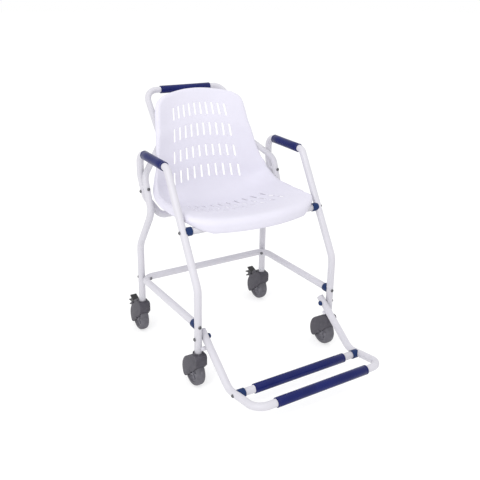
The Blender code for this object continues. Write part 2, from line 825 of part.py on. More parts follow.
def slot_columns():
    """Signed column numbers of the slot edges, in slot pitches from the middle, with the side they lie on."""
    middles = [k - (SLOTS_PER_ROW - 1) / 2 for k in range(SLOTS_PER_ROW)]
    return [(m, s) for m in middles for s in (-0.5, 0.5)]


def station_xs(station):
    half, pitch = station[2], station[3]
    inner = [m * pitch + s * SLOT_W for m, s in slot_columns()]
    last = inner[-1]
    spare = [last + (half - last) * share for share in (0.5, 1.0)]
    return [-v for v in reversed(spare)] + inner + spare


def shell_point(station, x):
    y, z, _, _, bow_y, bow_z, side_y, side_z = station
    outer = max(0.0, (abs(x) - SIDE_FROM) / (SIDE_TO - SIDE_FROM)) ** 2
    return Vector((x, y + bow_y * x * x + side_y * outer, z + bow_z * x * x + side_z * outer))


def grid_normals(grid):
    """Upward normals, from the slopes of the surface across a station and between stations."""
    last = len(STATIONS) - 1
    step = 0.002
    normals = []
    for i, points in enumerate(grid):
        line = []
        for point in points:
            after = shell_point(STATIONS[min(i + 1, last)], point.x)
            before = shell_point(STATIONS[max(i - 1, 0)], point.x)
            right = shell_point(STATIONS[i], point.x + step)
            left = shell_point(STATIONS[i], point.x - step)
            line.append((right - left).cross(after - before).normalized())
        normals.append(line)
    return normals


def roll_of(row, last_row):
    """Radius and depth of the rolled rim next to a station."""
    if row < len(FRONT_ROLLS):
        return FRONT_ROLLS[row]
    if row <= 10:
        return 0.0120, 0.0150
    if row >= last_row - 1:
        return 0.0100, 0.0020
    share = (row - 10) / (last_row - 11.0)
    radius = 0.0066 if row in range(15, 21) else 0.0100
    return radius, max(0.0012, 0.0150 - 0.0300 * share)


def boundary(rows, columns):
    """Grid indices of the rim, in order round the shell."""
    loop = [(0, j) for j in range(columns)]
    loop += [(i, columns - 1) for i in range(1, rows)]
    loop += [(rows - 1, j) for j in range(columns - 2, -1, -1)]
    loop += [(i, 0) for i in range(rows - 2, 0, -1)]
    return loop


def rim_rings(grid, normals):
    """Outer and inner points of the rolled rim, ring by ring."""
    rows, columns = len(grid), len(grid[0])
    loop = boundary(rows, columns)
    count = len(loop)
    outer_rings = []
    inner_rings = []
    for turn in list(ROLL_TURNS) + [None]:
        outer = []
        inner = []
        for k, (i, j) in enumerate(loop):
            here = grid[i][j]
            before = grid[loop[k - 1][0]][loop[k - 1][1]]
            after = grid[loop[(k + 1) % count][0]][loop[(k + 1) % count][1]]
            tangent = ((after - here).normalized() + (here - before).normalized()).normalized()
            normal = normals[i][j]
            out = tangent.cross(normal).normalized()
            radius, depth = roll_of(i, rows - 1)
            angle = radians(90.0 if turn is None else turn)
            drop = depth if turn is None else 0.0
            point = here + out * radius * sin(angle) - normal * (radius * (1 - cos(angle)) + drop)
            facing = normal * cos(angle) + out * sin(angle)
            outer.append(point)
            inner.append(point - facing * SHELL_T)
        outer_rings.append(outer)
        inner_rings.append(inner)
    return loop, outer_rings, inner_rings


def make_shell():
    grid = [[shell_point(station, x) for x in station_xs(station)] for station in STATIONS]
    normals = grid_normals(grid)
    rows, columns = len(grid), len(grid[0])
    bm = bmesh.new()
    top = [[bm.verts.new(p) for p in line] for line in grid]
    under = []
    for line, facing in zip(grid, normals):
        under.append([bm.verts.new(p - n * SHELL_T) for p, n in zip(line, facing)])
    slots = set()
    for i in SLOT_STARTS:
        for k in range(SLOTS_PER_ROW):
            slots.add((i, 2 + 2 * k))
    for i in range(rows - 1):
        for j in range(columns - 1):
            corners = ((i, j), (i, j + 1), (i + 1, j + 1), (i + 1, j))
            if (i, j) in slots:
                for (a, b), (c, d) in zip(corners, corners[1:] + corners[:1]):
                    bm.faces.new((top[a][b], top[c][d], under[c][d], under[a][b]))
                continue
            bm.faces.new([top[a][b] for a, b in corners])
            bm.faces.new([under[a][b] for a, b in reversed(corners)])
    loop, outer_rings, inner_rings = rim_rings(grid, normals)
    outer_last = [top[i][j] for i, j in loop]
    inner_last = [under[i][j] for i, j in loop]
    for outer, inner in zip(outer_rings, inner_rings):
        outer_new = [bm.verts.new(p) for p in outer]
        inner_new = [bm.verts.new(p) for p in inner]
        bridge(bm, outer_last, outer_new)
        bridge(bm, inner_last, inner_new)
        outer_last = outer_new
        inner_last = inner_new
    bridge(bm, outer_last, inner_last)
    return add_object("seat_shell", bm, own("seat_shell", "shell"), 50.0)


def make_clips():
    """Blocks that carry the shell: each hooks over a cross tube and meets the underside of the shell."""
    specs = (
        ("seat_clip_front_", 0.120, seat_tube_y(), SEAT_TUBE_Z, 0.5430, 0.5400),
        ("seat_clip_rear_", 0.100, SEAT_BAR[1], SEAT_BAR[2], 0.5125, 0.5190),
    )
    for prefix, x, y, z, top_front, top_rear in specs:
        for label, side in both_sides():
            name = prefix + label
            outline = []
            for angle in (215, 190, 165, 140):
                outline.append((y + 0.0165 * cos(radians(angle)), z + 0.0165 * sin(radians(angle))))
            outline += [(y - 0.0100, top_front), (y + 0.0100, top_rear)]
            for angle in (40, 15, -10, -35):
                outline.append((y + 0.0165 * cos(radians(angle)), z + 0.0165 * sin(radians(angle))))
            for angle in (-35, -10, 15, 40, 65, 90, 115, 140, 165, 190, 215):
                outline.append((y + 0.0132 * cos(radians(angle)), z + 0.0132 * sin(radians(angle))))
            low, high = sorted((side * (x - 0.014), side * (x + 0.014)))
            prism(name, outline, low, high, own(name, "white_plastic"))


clear_scene()
CUTTER = material("cutter", (1.0, 0.0, 0.0), 0.5)
make_frame()
make_joints()
make_sleeves()
make_footrest()
make_castors()
make_shell()
make_clips()
bpy.data.materials.remove(CUTTER)
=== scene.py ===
"""Looks of the wheeled shower chair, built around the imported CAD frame.

Metres, +Z up, the front of the chair faces -Y, left and right mirror each other in x = 0.
Each detailed piece takes the place of one CAD node and rides on that node's body.
"""

from math import cos, pi, radians, sin, sqrt, tan

import bmesh
import bpy
from mathutils import Matrix, Vector


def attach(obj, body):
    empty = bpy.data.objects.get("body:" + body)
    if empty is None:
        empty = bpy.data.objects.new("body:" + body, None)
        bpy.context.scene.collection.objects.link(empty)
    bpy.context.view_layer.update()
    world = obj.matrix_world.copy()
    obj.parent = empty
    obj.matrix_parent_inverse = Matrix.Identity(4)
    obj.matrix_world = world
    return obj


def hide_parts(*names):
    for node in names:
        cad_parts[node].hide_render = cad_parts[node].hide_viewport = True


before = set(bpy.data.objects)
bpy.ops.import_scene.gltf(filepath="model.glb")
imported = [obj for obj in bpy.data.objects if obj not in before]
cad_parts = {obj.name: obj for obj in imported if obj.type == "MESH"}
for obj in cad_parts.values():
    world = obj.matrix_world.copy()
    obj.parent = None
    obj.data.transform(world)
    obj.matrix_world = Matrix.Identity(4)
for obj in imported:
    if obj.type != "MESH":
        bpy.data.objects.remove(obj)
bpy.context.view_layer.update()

# Driving dimensions, the same as in the CAD except for SHELL_T
TUBE_R = 0.0125
HANDLE_R = 0.0112
WALL = 0.0015
GAP = 0.0003
LEG_X = 0.2710
FRONT_LEG_Y = -0.1400
REAR_LEG_Y = 0.2995
LEG_BOTTOM_Z = 0.1120
FRONT_KNEE_Z = 0.3500
ARM_FRONT = (0.0630, 0.7005)
ARM_REAR = (0.2755, 0.7065)
ARM_DROP_Z = 0.6250
DROP_END = (0.2670, 0.2480, 0.5530)
SEAT_BAR = (0.2220, 0.2260, 0.4840)
REAR_KNEE_Z = 0.3560
WAIST = (0.1935, 0.5080)
SHOULDER = (0.2395, 0.6300)
HANDLE_X = 0.1650
HANDLE_FOOT = (0.3220, 0.7280)
HANDLE_TOP = (0.4512, 0.8880)
LOWER_Z = 0.2245
LOWER_FRONT_Y = -0.1130
LOWER_CORNER_R = 0.0400
SEAT_TUBE_Z = 0.5140
FOOT_X = 0.2450
PIVOT = (-0.1400, 0.1790)
FOOT_BEND = (-0.2930, 0.0660)
FOOT_FRONT = (-0.4496, 0.0890)
FOOT_STUB = 0.0240
FOOT_BAR_Y = -0.3345
WHEEL_R = 0.0500
WHEEL_TRAIL = 0.0220
HOOD_R = 0.0545
HOOD_HALF = 0.0210
POCKET_HALF = 0.0162
POCKET_R = 0.0522
HOOD_TOP_Z = 0.1265
COLLAR_TOP_Z = 0.1295
PEDAL_Y = 0.0600
PEDAL_Z = 0.0975
JOINT_Z = 0.5900
DROP_BOLT_Z = 0.5720
SLEEVE_R = 0.0158
HANDLE_SLEEVE_R = 0.0142
SHELL_T = 0.0030  # 1 mm thinner than in the CAD, so that the slots show through
SLOT_R = 0.0035
SLOTS_PER_ROW = 10
SHANK_R = 0.0030
HEAD_R = 0.0060

SIDES = (("left", 1.0), ("right", -1.0))
ROUND = 40


# Materials

def link(tree, source, output, target, entry):
    tree.links.new(source.outputs[output], target.inputs[entry])


def noise(tree, coords, scale, detail=3.0, stretch=(1.0, 1.0, 1.0)):
    """A noise texture in the piece's own metres, stretched along the axes."""
    mapping = tree.nodes.new("ShaderNodeMapping")
    mapping.inputs["Scale"].default_value = stretch
    link(tree, coords, "Object", mapping, "Vector")
    made = tree.nodes.new("ShaderNodeTexNoise")
    made.inputs["Scale"].default_value = scale
    made.inputs["Detail"].default_value = detail
    link(tree, mapping, "Vector", made, "Vector")
    return made


def spread(tree, source, low, high, start=0.35, end=0.65):
    """Maps the middle of a noise onto low to high."""
    made = tree.nodes.new("ShaderNodeMapRange")
    made.inputs["From Min"].default_value = start
    made.inputs["From Max"].default_value = end
    made.inputs["To Min"].default_value = low
    made.inputs["To Max"].default_value = high
    link(tree, source, "Fac", made, "Value")
    return made


def tint(tree, factor, output, dark, light):
    made = tree.nodes.new("ShaderNodeMix")
    made.data_type = "RGBA"
    made.inputs[6].default_value = (*dark, 1.0)
    made.inputs[7].default_value = (*light, 1.0)
    link(tree, factor, output, made, 0)
    return made


def bump(tree, height, output, distance, strength, under=None):
    made = tree.nodes.new("ShaderNodeBump")
    made.inputs["Distance"].default_value = distance
    made.inputs["Strength"].default_value = strength
    link(tree, height, output, made, "Height")
    if under:
        link(tree, under, "Normal", made, "Normal")
    return made


def finish_material(name, colour, mottle, rough, grain, height, **extra):
    """A moulded, coated or plated finish.

    colour is lightened and darkened by mottle in broad patches, rough is (low, high), grain is the
    number of grains per metre and height is their depth in metres.
    """
    made = bpy.data.materials.new(name)
    made.use_nodes = True
    tree = made.node_tree
    shader = tree.nodes["Principled BSDF"]
    shader.inputs["Metallic"].default_value = extra.get("metallic", 0.0)
    shader.inputs["Specular IOR Level"].default_value = extra.get("specular", 0.5)
    coords = tree.nodes.new("ShaderNodeTexCoord")
    stretch = extra.get("stretch", (1.0, 1.0, 1.0))
    broad = noise(tree, coords, extra.get("broad", 14.0), 4.0)
    fine = noise(tree, coords, grain, 2.0, stretch)
    patch = spread(tree, broad, 0.0, 1.0)
    dark = tuple(c * (1.0 - mottle) for c in colour)
    light = tuple(min(1.0, c * (1.0 + mottle)) for c in colour)
    base = tint(tree, patch, "Result", dark, light)
    if "scuff" in extra:
        base = add_scuffs(tree, coords, base, extra["scuff"])
    link(tree, base, 2, shader, "Base Color")
    shine = spread(tree, fine, rough[0], rough[1])
    link(tree, shine, "Result", shader, "Roughness")
    wave = bump(tree, broad, "Fac", 0.0012, extra.get("wave", 0.06))
    relief = bump(tree, fine, "Fac", height, 1.0, wave)
    link(tree, relief, "Normal", shader, "Normal")
    return made


def add_scuffs(tree, coords, base, scuff):
    """Thin sparse marks of another colour: (colour, share of the marks, size)."""
    colour, share, scale = scuff
    marks = noise(tree, coords, scale, 6.0, (1.0, 1.0, 0.35))
    mask = spread(tree, marks, 0.0, share, 0.60, 0.70)
    made = tree.nodes.new("ShaderNodeMix")
    made.data_type = "RGBA"
    made.inputs[7].default_value = (*colour, 1.0)
    link(tree, mask, "Result", made, 0)
    tree.links.new(base.outputs[2], made.inputs[6])
    return made


def make_materials():
    white_dust = (0.45, 0.44, 0.47)
    pale_mark = (0.16, 0.16, 0.18)
    return {
        "coat": finish_material(
            "white_powder_coat", (0.580, 0.570, 0.615), 0.012, (0.30, 0.42), 520.0, 0.00006,
            specular=0.35, scuff=((0.55, 0.54, 0.58), 0.30, 60.0),
        ),
        "shell": finish_material(
            "shell_plastic", (0.665, 0.650, 0.735), 0.010, (0.40, 0.54), 1500.0, 0.00004,
            wave=0.03, broad=9.0, specular=0.30,
        ),
        "sleeve": finish_material(
            "blue_sleeve", (0.0040, 0.0085, 0.092), 0.10, (0.22, 0.28), 900.0, 0.000008,
            specular=0.22, scuff=((0.010, 0.015, 0.12), 0.35, 110.0),
        ),
        "saddle": finish_material(
            "blue_moulding", (0.008, 0.026, 0.100), 0.10, (0.28, 0.42), 1400.0, 0.00003,
            specular=0.18, broad=60.0,
        ),
        "white": finish_material(
            "white_moulding", (0.610, 0.600, 0.650), 0.015, (0.38, 0.52), 1600.0, 0.00003, broad=50.0,
        ),
        "housing": finish_material(
            "castor_housing", (0.058, 0.054, 0.068), 0.10, (0.46, 0.62), 1900.0, 0.00007,
            broad=70.0, specular=0.35, scuff=(pale_mark, 0.30, 160.0),
        ),
        "tyre": finish_material(
            "castor_tyre", (0.095, 0.092, 0.108), 0.14, (0.60, 0.80), 1300.0, 0.00006,
            broad=60.0, scuff=(white_dust, 0.12, 90.0),
        ),
        "hub": finish_material(
            "castor_hub", (0.120, 0.116, 0.138), 0.08, (0.40, 0.55), 1700.0, 0.00004, broad=70.0,
        ),
        "pedal": finish_material(
            "brake_pedal", (0.014, 0.014, 0.016), 0.20, (0.40, 0.60), 1500.0, 0.00007,
            broad=80.0, scuff=((0.06, 0.06, 0.065), 0.35, 200.0),
        ),
        "bolt": finish_material(
            "dark_zinc", (0.15, 0.15, 0.16), 0.20, (0.28, 0.46), 1200.0, 0.00002, metallic=1.0, broad=90.0,
        ),
        "stem": finish_material(
            "stem_steel", (0.50, 0.50, 0.52), 0.08, (0.22, 0.38), 1400.0, 0.00002,
            metallic=1.0, broad=90.0, stretch=(1.0, 1.0, 6.0),
        ),
    }


# Mesh helpers

def add_object(name, data):
    made = bpy.data.objects.new(name, data)
    bpy.context.scene.collection.objects.link(made)
    return made


def new_piece(name, bm, kind, smooth_angle=38.0):
    """A shown object from a bmesh, with its faces turned outward and its material set."""
    bmesh.ops.remove_doubles(bm, verts=bm.verts, dist=1e-6)
    bmesh.ops.recalc_face_normals(bm, faces=bm.faces)
    for face in bm.faces:
        face.smooth = True
    for edge in bm.edges:
        edge.smooth = len(edge.link_faces) == 2 and edge.calc_face_angle(pi) < radians(smooth_angle)
    mesh = bpy.data.meshes.new(name)
    bm.to_mesh(mesh)
    bm.free()
    mesh.materials.append(MATERIALS[kind])
    return add_object(name, mesh)


def settle(piece, kind, body, *nodes):
    """The piece rides on a body and stands for the given CAD nodes."""
    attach(piece, body)
    if nodes:
        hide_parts(*nodes)
    return piece


def frame_of(direction, hint=Vector((0.0, 0.0, 1.0))):
    along = direction.normalized()
    if abs(along.dot(hint)) > 0.95:
        hint = Vector((1.0, 0.0, 0.0))
    side = along.cross(hint).normalized()
    return side, side.cross(along).normalized()


def hexagon(angle):
    """Distance to the side of a hexagon whose flats lie at distance 1."""
    return 1.0 / cos((angle + pi / 6) % (pi / 3) - pi / 6)


def ring(bm, centre, side, up, radius, count, shape=None):
    verts = []
    for k in range(count):
        angle = 2 * pi * k / count
        reach = radius * shape(angle) if shape else radius
        verts.append(bm.verts.new(centre + reach * (cos(angle) * side + sin(angle) * up)))
    return verts


def bridge(bm, first, second):
    count = len(first)
    for k in range(count):
        after = (k + 1) % count
        bm.faces.new((first[k], first[after], second[after], second[k]))


def fillet(points, radii, step=7.0):
    """Round the inner corners of a polyline with arcs, and give back the points along it."""
    path = [points[0]]
    for before, corner, after, radius in zip(points, points[1:], points[2:], radii):
        back = (before - corner).normalized()
        ahead = (after - corner).normalized()
        turn = pi - back.angle(ahead)
        if turn < 1e-3:
            continue
        reach = radius * tan(turn / 2)
        centre = corner + (back + ahead).normalized() * (radius / cos(turn / 2))
        start = corner + back * reach
        axis = (start - centre).cross(corner + ahead * reach - centre).normalized()
        count = max(2, round(turn / radians(step)))
        for k in range(count + 1):
            path.append(centre + Matrix.Rotation(turn * k / count, 3, axis) @ (start - centre))
    path.append(points[-1])
    return path


def sweep_rings(bm, path, radius_at, count):
    """Rings of one tube surface along a path, carried without twist."""
    rings = []
    tangent = (path[1] - path[0]).normalized()
    side, up = frame_of(tangent, Vector((0.0, 1.0, 0.0)))
    for k, point in enumerate(path):
        ahead = path[min(k + 1, len(path) - 1)] - point
        behind = point - path[max(k - 1, 0)]
        ahead = (ahead.normalized() + behind.normalized()).normalized()
        spin = tangent.rotation_difference(ahead)
        side = spin @ side
        up = spin @ up
        tangent = ahead
        rings.append(ring(bm, point, side, up, radius_at(point), count))
    return rings


def shorten(path, distance):
    """The path with both ends moved inward, as (outer end, inner point, ..., inner point, outer end)."""
    first = path[0] + (path[1] - path[0]).normalized() * distance
    last = path[-1] + (path[-2] - path[-1]).normalized() * distance
    return [path[0], first] + path[1:-1] + [last, path[-1]]


def tube(name, path, body, node, radius_at=None):
    """A steel tube with turned-over ends."""
    bm = bmesh.new()
    outside = radius_at or (lambda point: TUBE_R)
    ease = 0.0005
    full = shorten(path, ease)
    ends = (full[0], full[-1])
    outer = sweep_rings(bm, full, lambda p: outside(p) - (ease if p in ends else 0.0), ROUND)
    inner = sweep_rings(bm, path, lambda p: outside(p) - WALL, ROUND)
    for layer in (outer, inner):
        for first, second in zip(layer, layer[1:]):
            bridge(bm, first, second)
    bridge(bm, outer[0], inner[0])
    bridge(bm, outer[-1], inner[-1])
    return settle(new_piece(name, bm, "coat", 50.0), "coat", body, node)


def lathe(name, origin, direction, profile, kind, closed=True, count=ROUND):
    """Turn (distance along, radius, optional shape) points about an axis. Radius zero closes the end."""
    bm = bmesh.new()
    along = Vector(direction).normalized()
    side, up = frame_of(along, Vector((0.0, 0.0, 1.0)))
    base = Vector(origin)
    rings = []
    for entry in profile:
        shape = entry[2] if len(entry) > 2 else None
        centre = base + along * entry[0]
        if entry[1] == 0.0:
            rings.append([bm.verts.new(centre)])
        else:
            rings.append(ring(bm, centre, side, up, entry[1], count, shape))
    pairs = list(zip(rings, rings[1:]))
    if closed:
        pairs.append((rings[-1], rings[0]))
    for first, second in pairs:
        if len(first) > 1 and len(second) > 1:
            bridge(bm, first, second)
            continue
        if len(first) == len(second):
            continue
        tip, loop = (first[0], second) if len(first) == 1 else (second[0], first)
        for k in range(count):
            bm.faces.new((tip, loop[k], loop[(k + 1) % count]))
    return new_piece(name, bm, kind)


def rounded(profile, radius):
    """A profile of (distance, radius) points with its corners eased by arcs of the given radius."""
    points = [Vector((a, b, 0.0)) for a, b in profile]
    eased = fillet(points, [radius] * (len(points) - 2), 30.0)
    return [(p.x, p.y) for p in eased]


def prism(name, outline, low, high, kind):
    """Extrude an outline of (y, z) points from x = low to x = high."""
    bm = bmesh.new()
    first = [bm.verts.new((low, y, z)) for y, z in outline]
    second = [bm.verts.new((high, y, z)) for y, z in outline]
    bm.faces.new(first)
    bm.faces.new(list(reversed(second)))
    bridge(bm, first, second)
    return new_piece(name, bm, kind)


def cutter_cylinder(start, end, radius, count=ROUND):
    start = Vector(start)
    end = Vector(end)
    length = (end - start).length
    profile = [(0.0, 0.0), (0.0, radius), (length, radius), (length, 0.0)]
    return lathe("cutter", start, end - start, profile, "white", False, count)


def bake(piece):
    """Turn the piece's modifiers into its mesh."""
    bpy.context.view_layer.update()
    graph = bpy.context.evaluated_depsgraph_get()
    mesh = bpy.data.meshes.new_from_object(piece.evaluated_get(graph))
    piece.modifiers.clear()
    piece.data = mesh
    return piece


def bevel(piece, width, segments=2, angle=35.0):
    modifier = piece.modifiers.new("ease", "BEVEL")
    modifier.width = width
    modifier.segments = segments
    modifier.limit_method = "ANGLE"
    modifier.angle_limit = radians(angle)
    modifier.harden_normals = False
    modifier.use_clamp_overlap = True
    return bake(piece)


def combine(piece, others, operation):
    for other in others:
        modifier = piece.modifiers.new("cut", "BOOLEAN")
        modifier.operation = operation
        modifier.solver = "EXACT"
        modifier.object = other
    bake(piece)
    for other in others:
        bpy.data.objects.remove(other, do_unlink=True)
    bm = bmesh.new()
    bm.from_mesh(piece.data)
    bmesh.ops.remove_doubles(bm, verts=bm.verts, dist=1e-5)
    bmesh.ops.dissolve_degenerate(bm, edges=bm.edges, dist=1e-5)
    for face in bm.faces:
        face.smooth = True
    for edge in bm.edges:
        edge.smooth = len(edge.link_faces) == 2 and edge.calc_face_angle(pi) < radians(38.0)
    bm.to_mesh(piece.data)
    bm.free()
    return piece


def mirrored(points):
    return points + [Vector((-p.x, p.y, p.z)) for p in reversed(points)]


# Tube paths, as in the CAD

def arm_path():
    half = [
        Vector((LEG_X, FRONT_LEG_Y, LEG_BOTTOM_Z)),
        Vector((LEG_X, FRONT_LEG_Y, FRONT_KNEE_Z)),
        Vector((LEG_X, *ARM_FRONT)),
        Vector((LEG_X, *ARM_REAR)),
        Vector((LEG_X, ARM_REAR[0], ARM_DROP_Z)),
        Vector(DROP_END),
        Vector(SEAT_BAR),
    ]
    radii = [0.060, 0.028, 0.036, 0.060, 0.050, 0.036]
    return fillet(mirrored(half), radii + radii[::-1])


def back_path():
    half = [
        Vector((LEG_X, REAR_LEG_Y, LEG_BOTTOM_Z)),
        Vector((LEG_X, REAR_LEG_Y, REAR_KNEE_Z)),
        Vector((LEG_X, *WAIST)),
        Vector((LEG_X, *SHOULDER)),
        Vector((HANDLE_X, *HANDLE_FOOT)),
        Vector((HANDLE_X, *HANDLE_TOP)),
    ]
    radii = [0.075, 0.060, 0.055, 0.060, 0.045]
    return fillet(mirrored(half), radii + radii[::-1])


def back_radius(point):
    share = min(1.0, max(0.0, (point.z - 0.50) / 0.08))
    return TUBE_R + (HANDLE_R - TUBE_R) * share


def lower_corner():
    """Where the lower frame's corner nests against the rear leg, and the direction of its bolt."""
    reach = 2 * TUBE_R + GAP * 2
    turn = LOWER_CORNER_R / (reach + LOWER_CORNER_R)
    away = Vector((turn, sqrt(1.0 - turn * turn), 0.0))
    cross_y = REAR_LEG_Y - (reach + LOWER_CORNER_R) * away.y + LOWER_CORNER_R
    return away, cross_y


def lower_path():
    half = [Vector((LEG_X, LOWER_FRONT_Y, LOWER_Z)), Vector((LEG_X, lower_corner()[1], LOWER_Z))]
    return fillet(mirrored(half), [LOWER_CORNER_R] * 2)


def lean():
    """Direction of the front tube above its knee."""
    low = Vector((0.0, FRONT_LEG_Y, FRONT_KNEE_Z))
    return (Vector((0.0, *ARM_FRONT)) - low).normalized()


def seat_tube_y():
    slope = lean()
    return FRONT_LEG_Y + (SEAT_TUBE_Z - FRONT_KNEE_Z) * slope.y / slope.z


def foot_directions():
    pivot = Vector((0.0, *PIVOT))
    bend = Vector((0.0, *FOOT_BEND))
    front = Vector((0.0, *FOOT_FRONT))
    return (bend - pivot).normalized(), (front - bend).normalized()


def foot_path():
    pivot = Vector((FOOT_X, *PIVOT))
    half = [
        pivot - foot_directions()[0] * FOOT_STUB,
        Vector((FOOT_X, *FOOT_BEND)),
        Vector((FOOT_X, *FOOT_FRONT)),
    ]
    return fillet(mirrored(half), [0.055, 0.045, 0.045, 0.055])


def foot_bar_z():
    slope = foot_directions()[1]
    return FOOT_BEND[1] + (FOOT_BAR_Y - FOOT_BEND[0]) * slope.z / slope.y


def point_at_z(path, z, side):
    """The point behind the seat where a tube path passes a height, on one side, and its direction."""
    for first, second in zip(path, path[1:]):
        if first.x * side > 0.2 and min(first.z, second.z) <= z <= max(first.z, second.z):
            if abs(second.z - first.z) > 1e-6 and first.y > 0.15:
                share = (z - first.z) / (second.z - first.z)
                return first.lerp(second, share), (second - first).normalized()
    return None


def make_tubes():
    tube("arm_tube", arm_path(), "frame", "arm_frame")
    tube("back_tube", back_path(), "frame", "back_frame", back_radius)
    tube("lower_tube", lower_path(), "frame", "lower_frame")
    y = seat_tube_y()
    reach = LEG_X - 0.0260
    ends = [Vector((reach, y, SEAT_TUBE_Z)), Vector((-reach, y, SEAT_TUBE_Z))]
    tube("seat_cross_tube", ends, "frame", "seat_front_tube")
    tube("footrest_tube", foot_path(), "footrest", "footrest_frame")
    reach = FOOT_X - 0.0260
    ends = [Vector((reach, FOOT_BAR_Y, foot_bar_z())), Vector((-reach, FOOT_BAR_Y, foot_bar_z()))]
    tube("footrest_cross_tube", ends, "footrest", "footrest_bar")


# Fasteners

def button_head(radius):
    """Profile of a domed head with a hexagon socket, from the socket's floor to the rim."""
    socket = radius * 0.36
    dome = [(-0.0016, 0.0), (-0.0016, socket, hexagon), (-0.0034, socket, hexagon)]
    dome.append((-0.0036, socket * 1.35))
    for angle in (30, 45, 60, 75, 90):
        turn = radians(angle)
        dome.append((-0.0036 * cos(turn) ** 0.9 if angle < 90 else -0.0006, radius * sin(turn)))
    dome.append((0.0, radius * 0.985))
    return dome


def screw(node, head_at, direction, length, body, shank_r=SHANK_R, head_r=HEAD_R):
    profile = button_head(head_r)
    profile += [(0.0, shank_r), (length - 0.001, shank_r), (length, shank_r * 0.7), (length, 0.0)]
    piece = lathe("look_" + node, head_at, direction, profile, "bolt", False, 36)
    return settle(piece, "bolt", body, node)


def through_bolt(node, head_at, direction, grip, body):
    profile = button_head(HEAD_R)
    flats = HEAD_R * 0.86
    profile += [
        (0.0, SHANK_R),
        (grip, SHANK_R),
        (grip, flats * 0.96, hexagon),
        (grip + 0.0003, flats, hexagon),
        (grip + 0.0022, flats, hexagon),
        (grip + 0.0026, flats * 0.97),
        (grip + 0.0034, flats * 0.80),
        (grip + 0.0039, flats * 0.50),
        (grip + 0.0040, 0.0),
    ]
    piece = lathe("look_" + node, head_at, direction, profile, "bolt", False, 36)
    return settle(piece, "bolt", body, node)


def saddle(node, at, direction, crossed, depth, body):
    """A moulded saddle that plugs a tube end and cups the tube it is bolted to."""
    start = 0.0050
    end = 0.0290
    seat = 0.0255
    outer = 0.0148
    fit = TUBE_R + 0.0005
    plug = TUBE_R - WALL - 0.0007
    outside = rounded([(start, 0.0036), (start, outer), (end, outer), (end, fit)], 0.0010)
    profile = outside[:-1]
    profile += [(end, fit), (seat, fit), (seat, plug), (depth - 0.001, plug)]
    profile += [(depth, plug - 0.001), (depth, 0.0036)]
    piece = lathe("look_" + node, at, direction, profile, "saddle")
    along = Vector(crossed).normalized()
    middle = Vector(at)
    cutter = cutter_cylinder(middle - along * 0.03, middle + along * 0.03, fit + 0.0001)
    combine(piece, [cutter], "DIFFERENCE")
    return settle(piece, "saddle", body, node)


def joint_points(side):
    arm_at = point_at_z(arm_path(), JOINT_Z, side)
    back_at = point_at_z(back_path(), JOINT_Z, side)
    return arm_at, back_at


def make_joints():
    y = seat_tube_y()
    away = lower_corner()[0]
    for label, side in SIDES:
        x = side * LEG_X
        across = (-side, 0.0, 0.0)
        saddle("seat_saddle_" + label, (x, y, SEAT_TUBE_Z), across, lean(), 0.042, "frame")
        screw("seat_bolt_" + label, (x + side * (TUBE_R + GAP), y, SEAT_TUBE_Z), across, 0.048, "frame")
        saddle("lower_saddle_" + label, (x, FRONT_LEG_Y, LOWER_Z), (0, 1, 0), (0, 0, 1), 0.042, "frame")
        screw("lower_bolt_" + label, (x, FRONT_LEG_Y - TUBE_R - GAP, LOWER_Z), (0, 1, 0), 0.048, "frame")
        outward = Vector((side * away.x, away.y, 0.0))
        head = Vector((x, REAR_LEG_Y, LOWER_Z)) + outward * (TUBE_R + GAP)
        through_bolt("corner_bolt_" + label, head, -outward, 4 * TUBE_R + 6 * GAP, "frame")
        make_joint(label, side)
        drop = point_at_z(arm_path(), DROP_BOLT_Z, side)[0]
        grip = 2 * (TUBE_R + 2 * GAP)
        through_bolt("drop_bolt_" + label, drop + Vector((side * grip / 2, 0, 0)), across, grip, "frame")


def make_joint(label, side):
    """The bolt and spacer that tie the arm tube to the rear tube behind the seat."""
    (arm_at, arm_dir), (back_at, back_dir) = joint_points(side)
    x = side * LEG_X
    front = back_at.y - 0.0152
    rear = arm_at.y + 0.0160
    through_bolt("joint_bolt_" + label, (x, front, JOINT_Z), (0, 1, 0), rear - front, "frame")
    start = back_at.y + 0.004
    length = arm_at.y - 0.004 - start
    profile = [(0.0, 0.0036), (0.0, 0.0075), (length, 0.0075), (length, 0.0036)]
    node = "joint_spacer_" + label
    piece = lathe("look_" + node, (x, start, JOINT_Z), (0, 1, 0), profile, "white")
    cuts = []
    for at, along, radius in ((arm_at, arm_dir, TUBE_R), (back_at, back_dir, back_radius(back_at))):
        cuts.append(cutter_cylinder(at - along * 0.03, at + along * 0.03, radius + 0.0004))
    combine(piece, cuts, "DIFFERENCE")
    settle(piece, "white", "frame", node)


# Sleeves

def sleeve(node, start, end, inner_r, radius, body):
    """A soft sleeve with rolled ends, a shallow groove inside each end and a faint waist."""
    start = Vector(start)
    end = Vector(end)
    length = (end - start).length
    groove = 0.0060
    profile = [(0.0, inner_r)]
    lip = 0.0015
    for angle in (0, 30, 60, 90):
        turn = radians(angle)
        profile.append((lip - lip * cos(turn), radius - lip + lip * sin(turn)))
    profile += [(groove, radius), (groove + 0.0006, radius - 0.0003), (groove + 0.0012, radius)]
    profile += [(length * share, radius - 0.00015 * sin(pi * share)) for share in (0.25, 0.5, 0.75)]
    half = len(profile)
    mirror = [(length - a, r) for a, r in reversed(profile[: half - 3])]
    piece = lathe("look_" + node, start, end - start, profile + mirror, "sleeve", True, 56)
    return settle(piece, "sleeve", body, node)


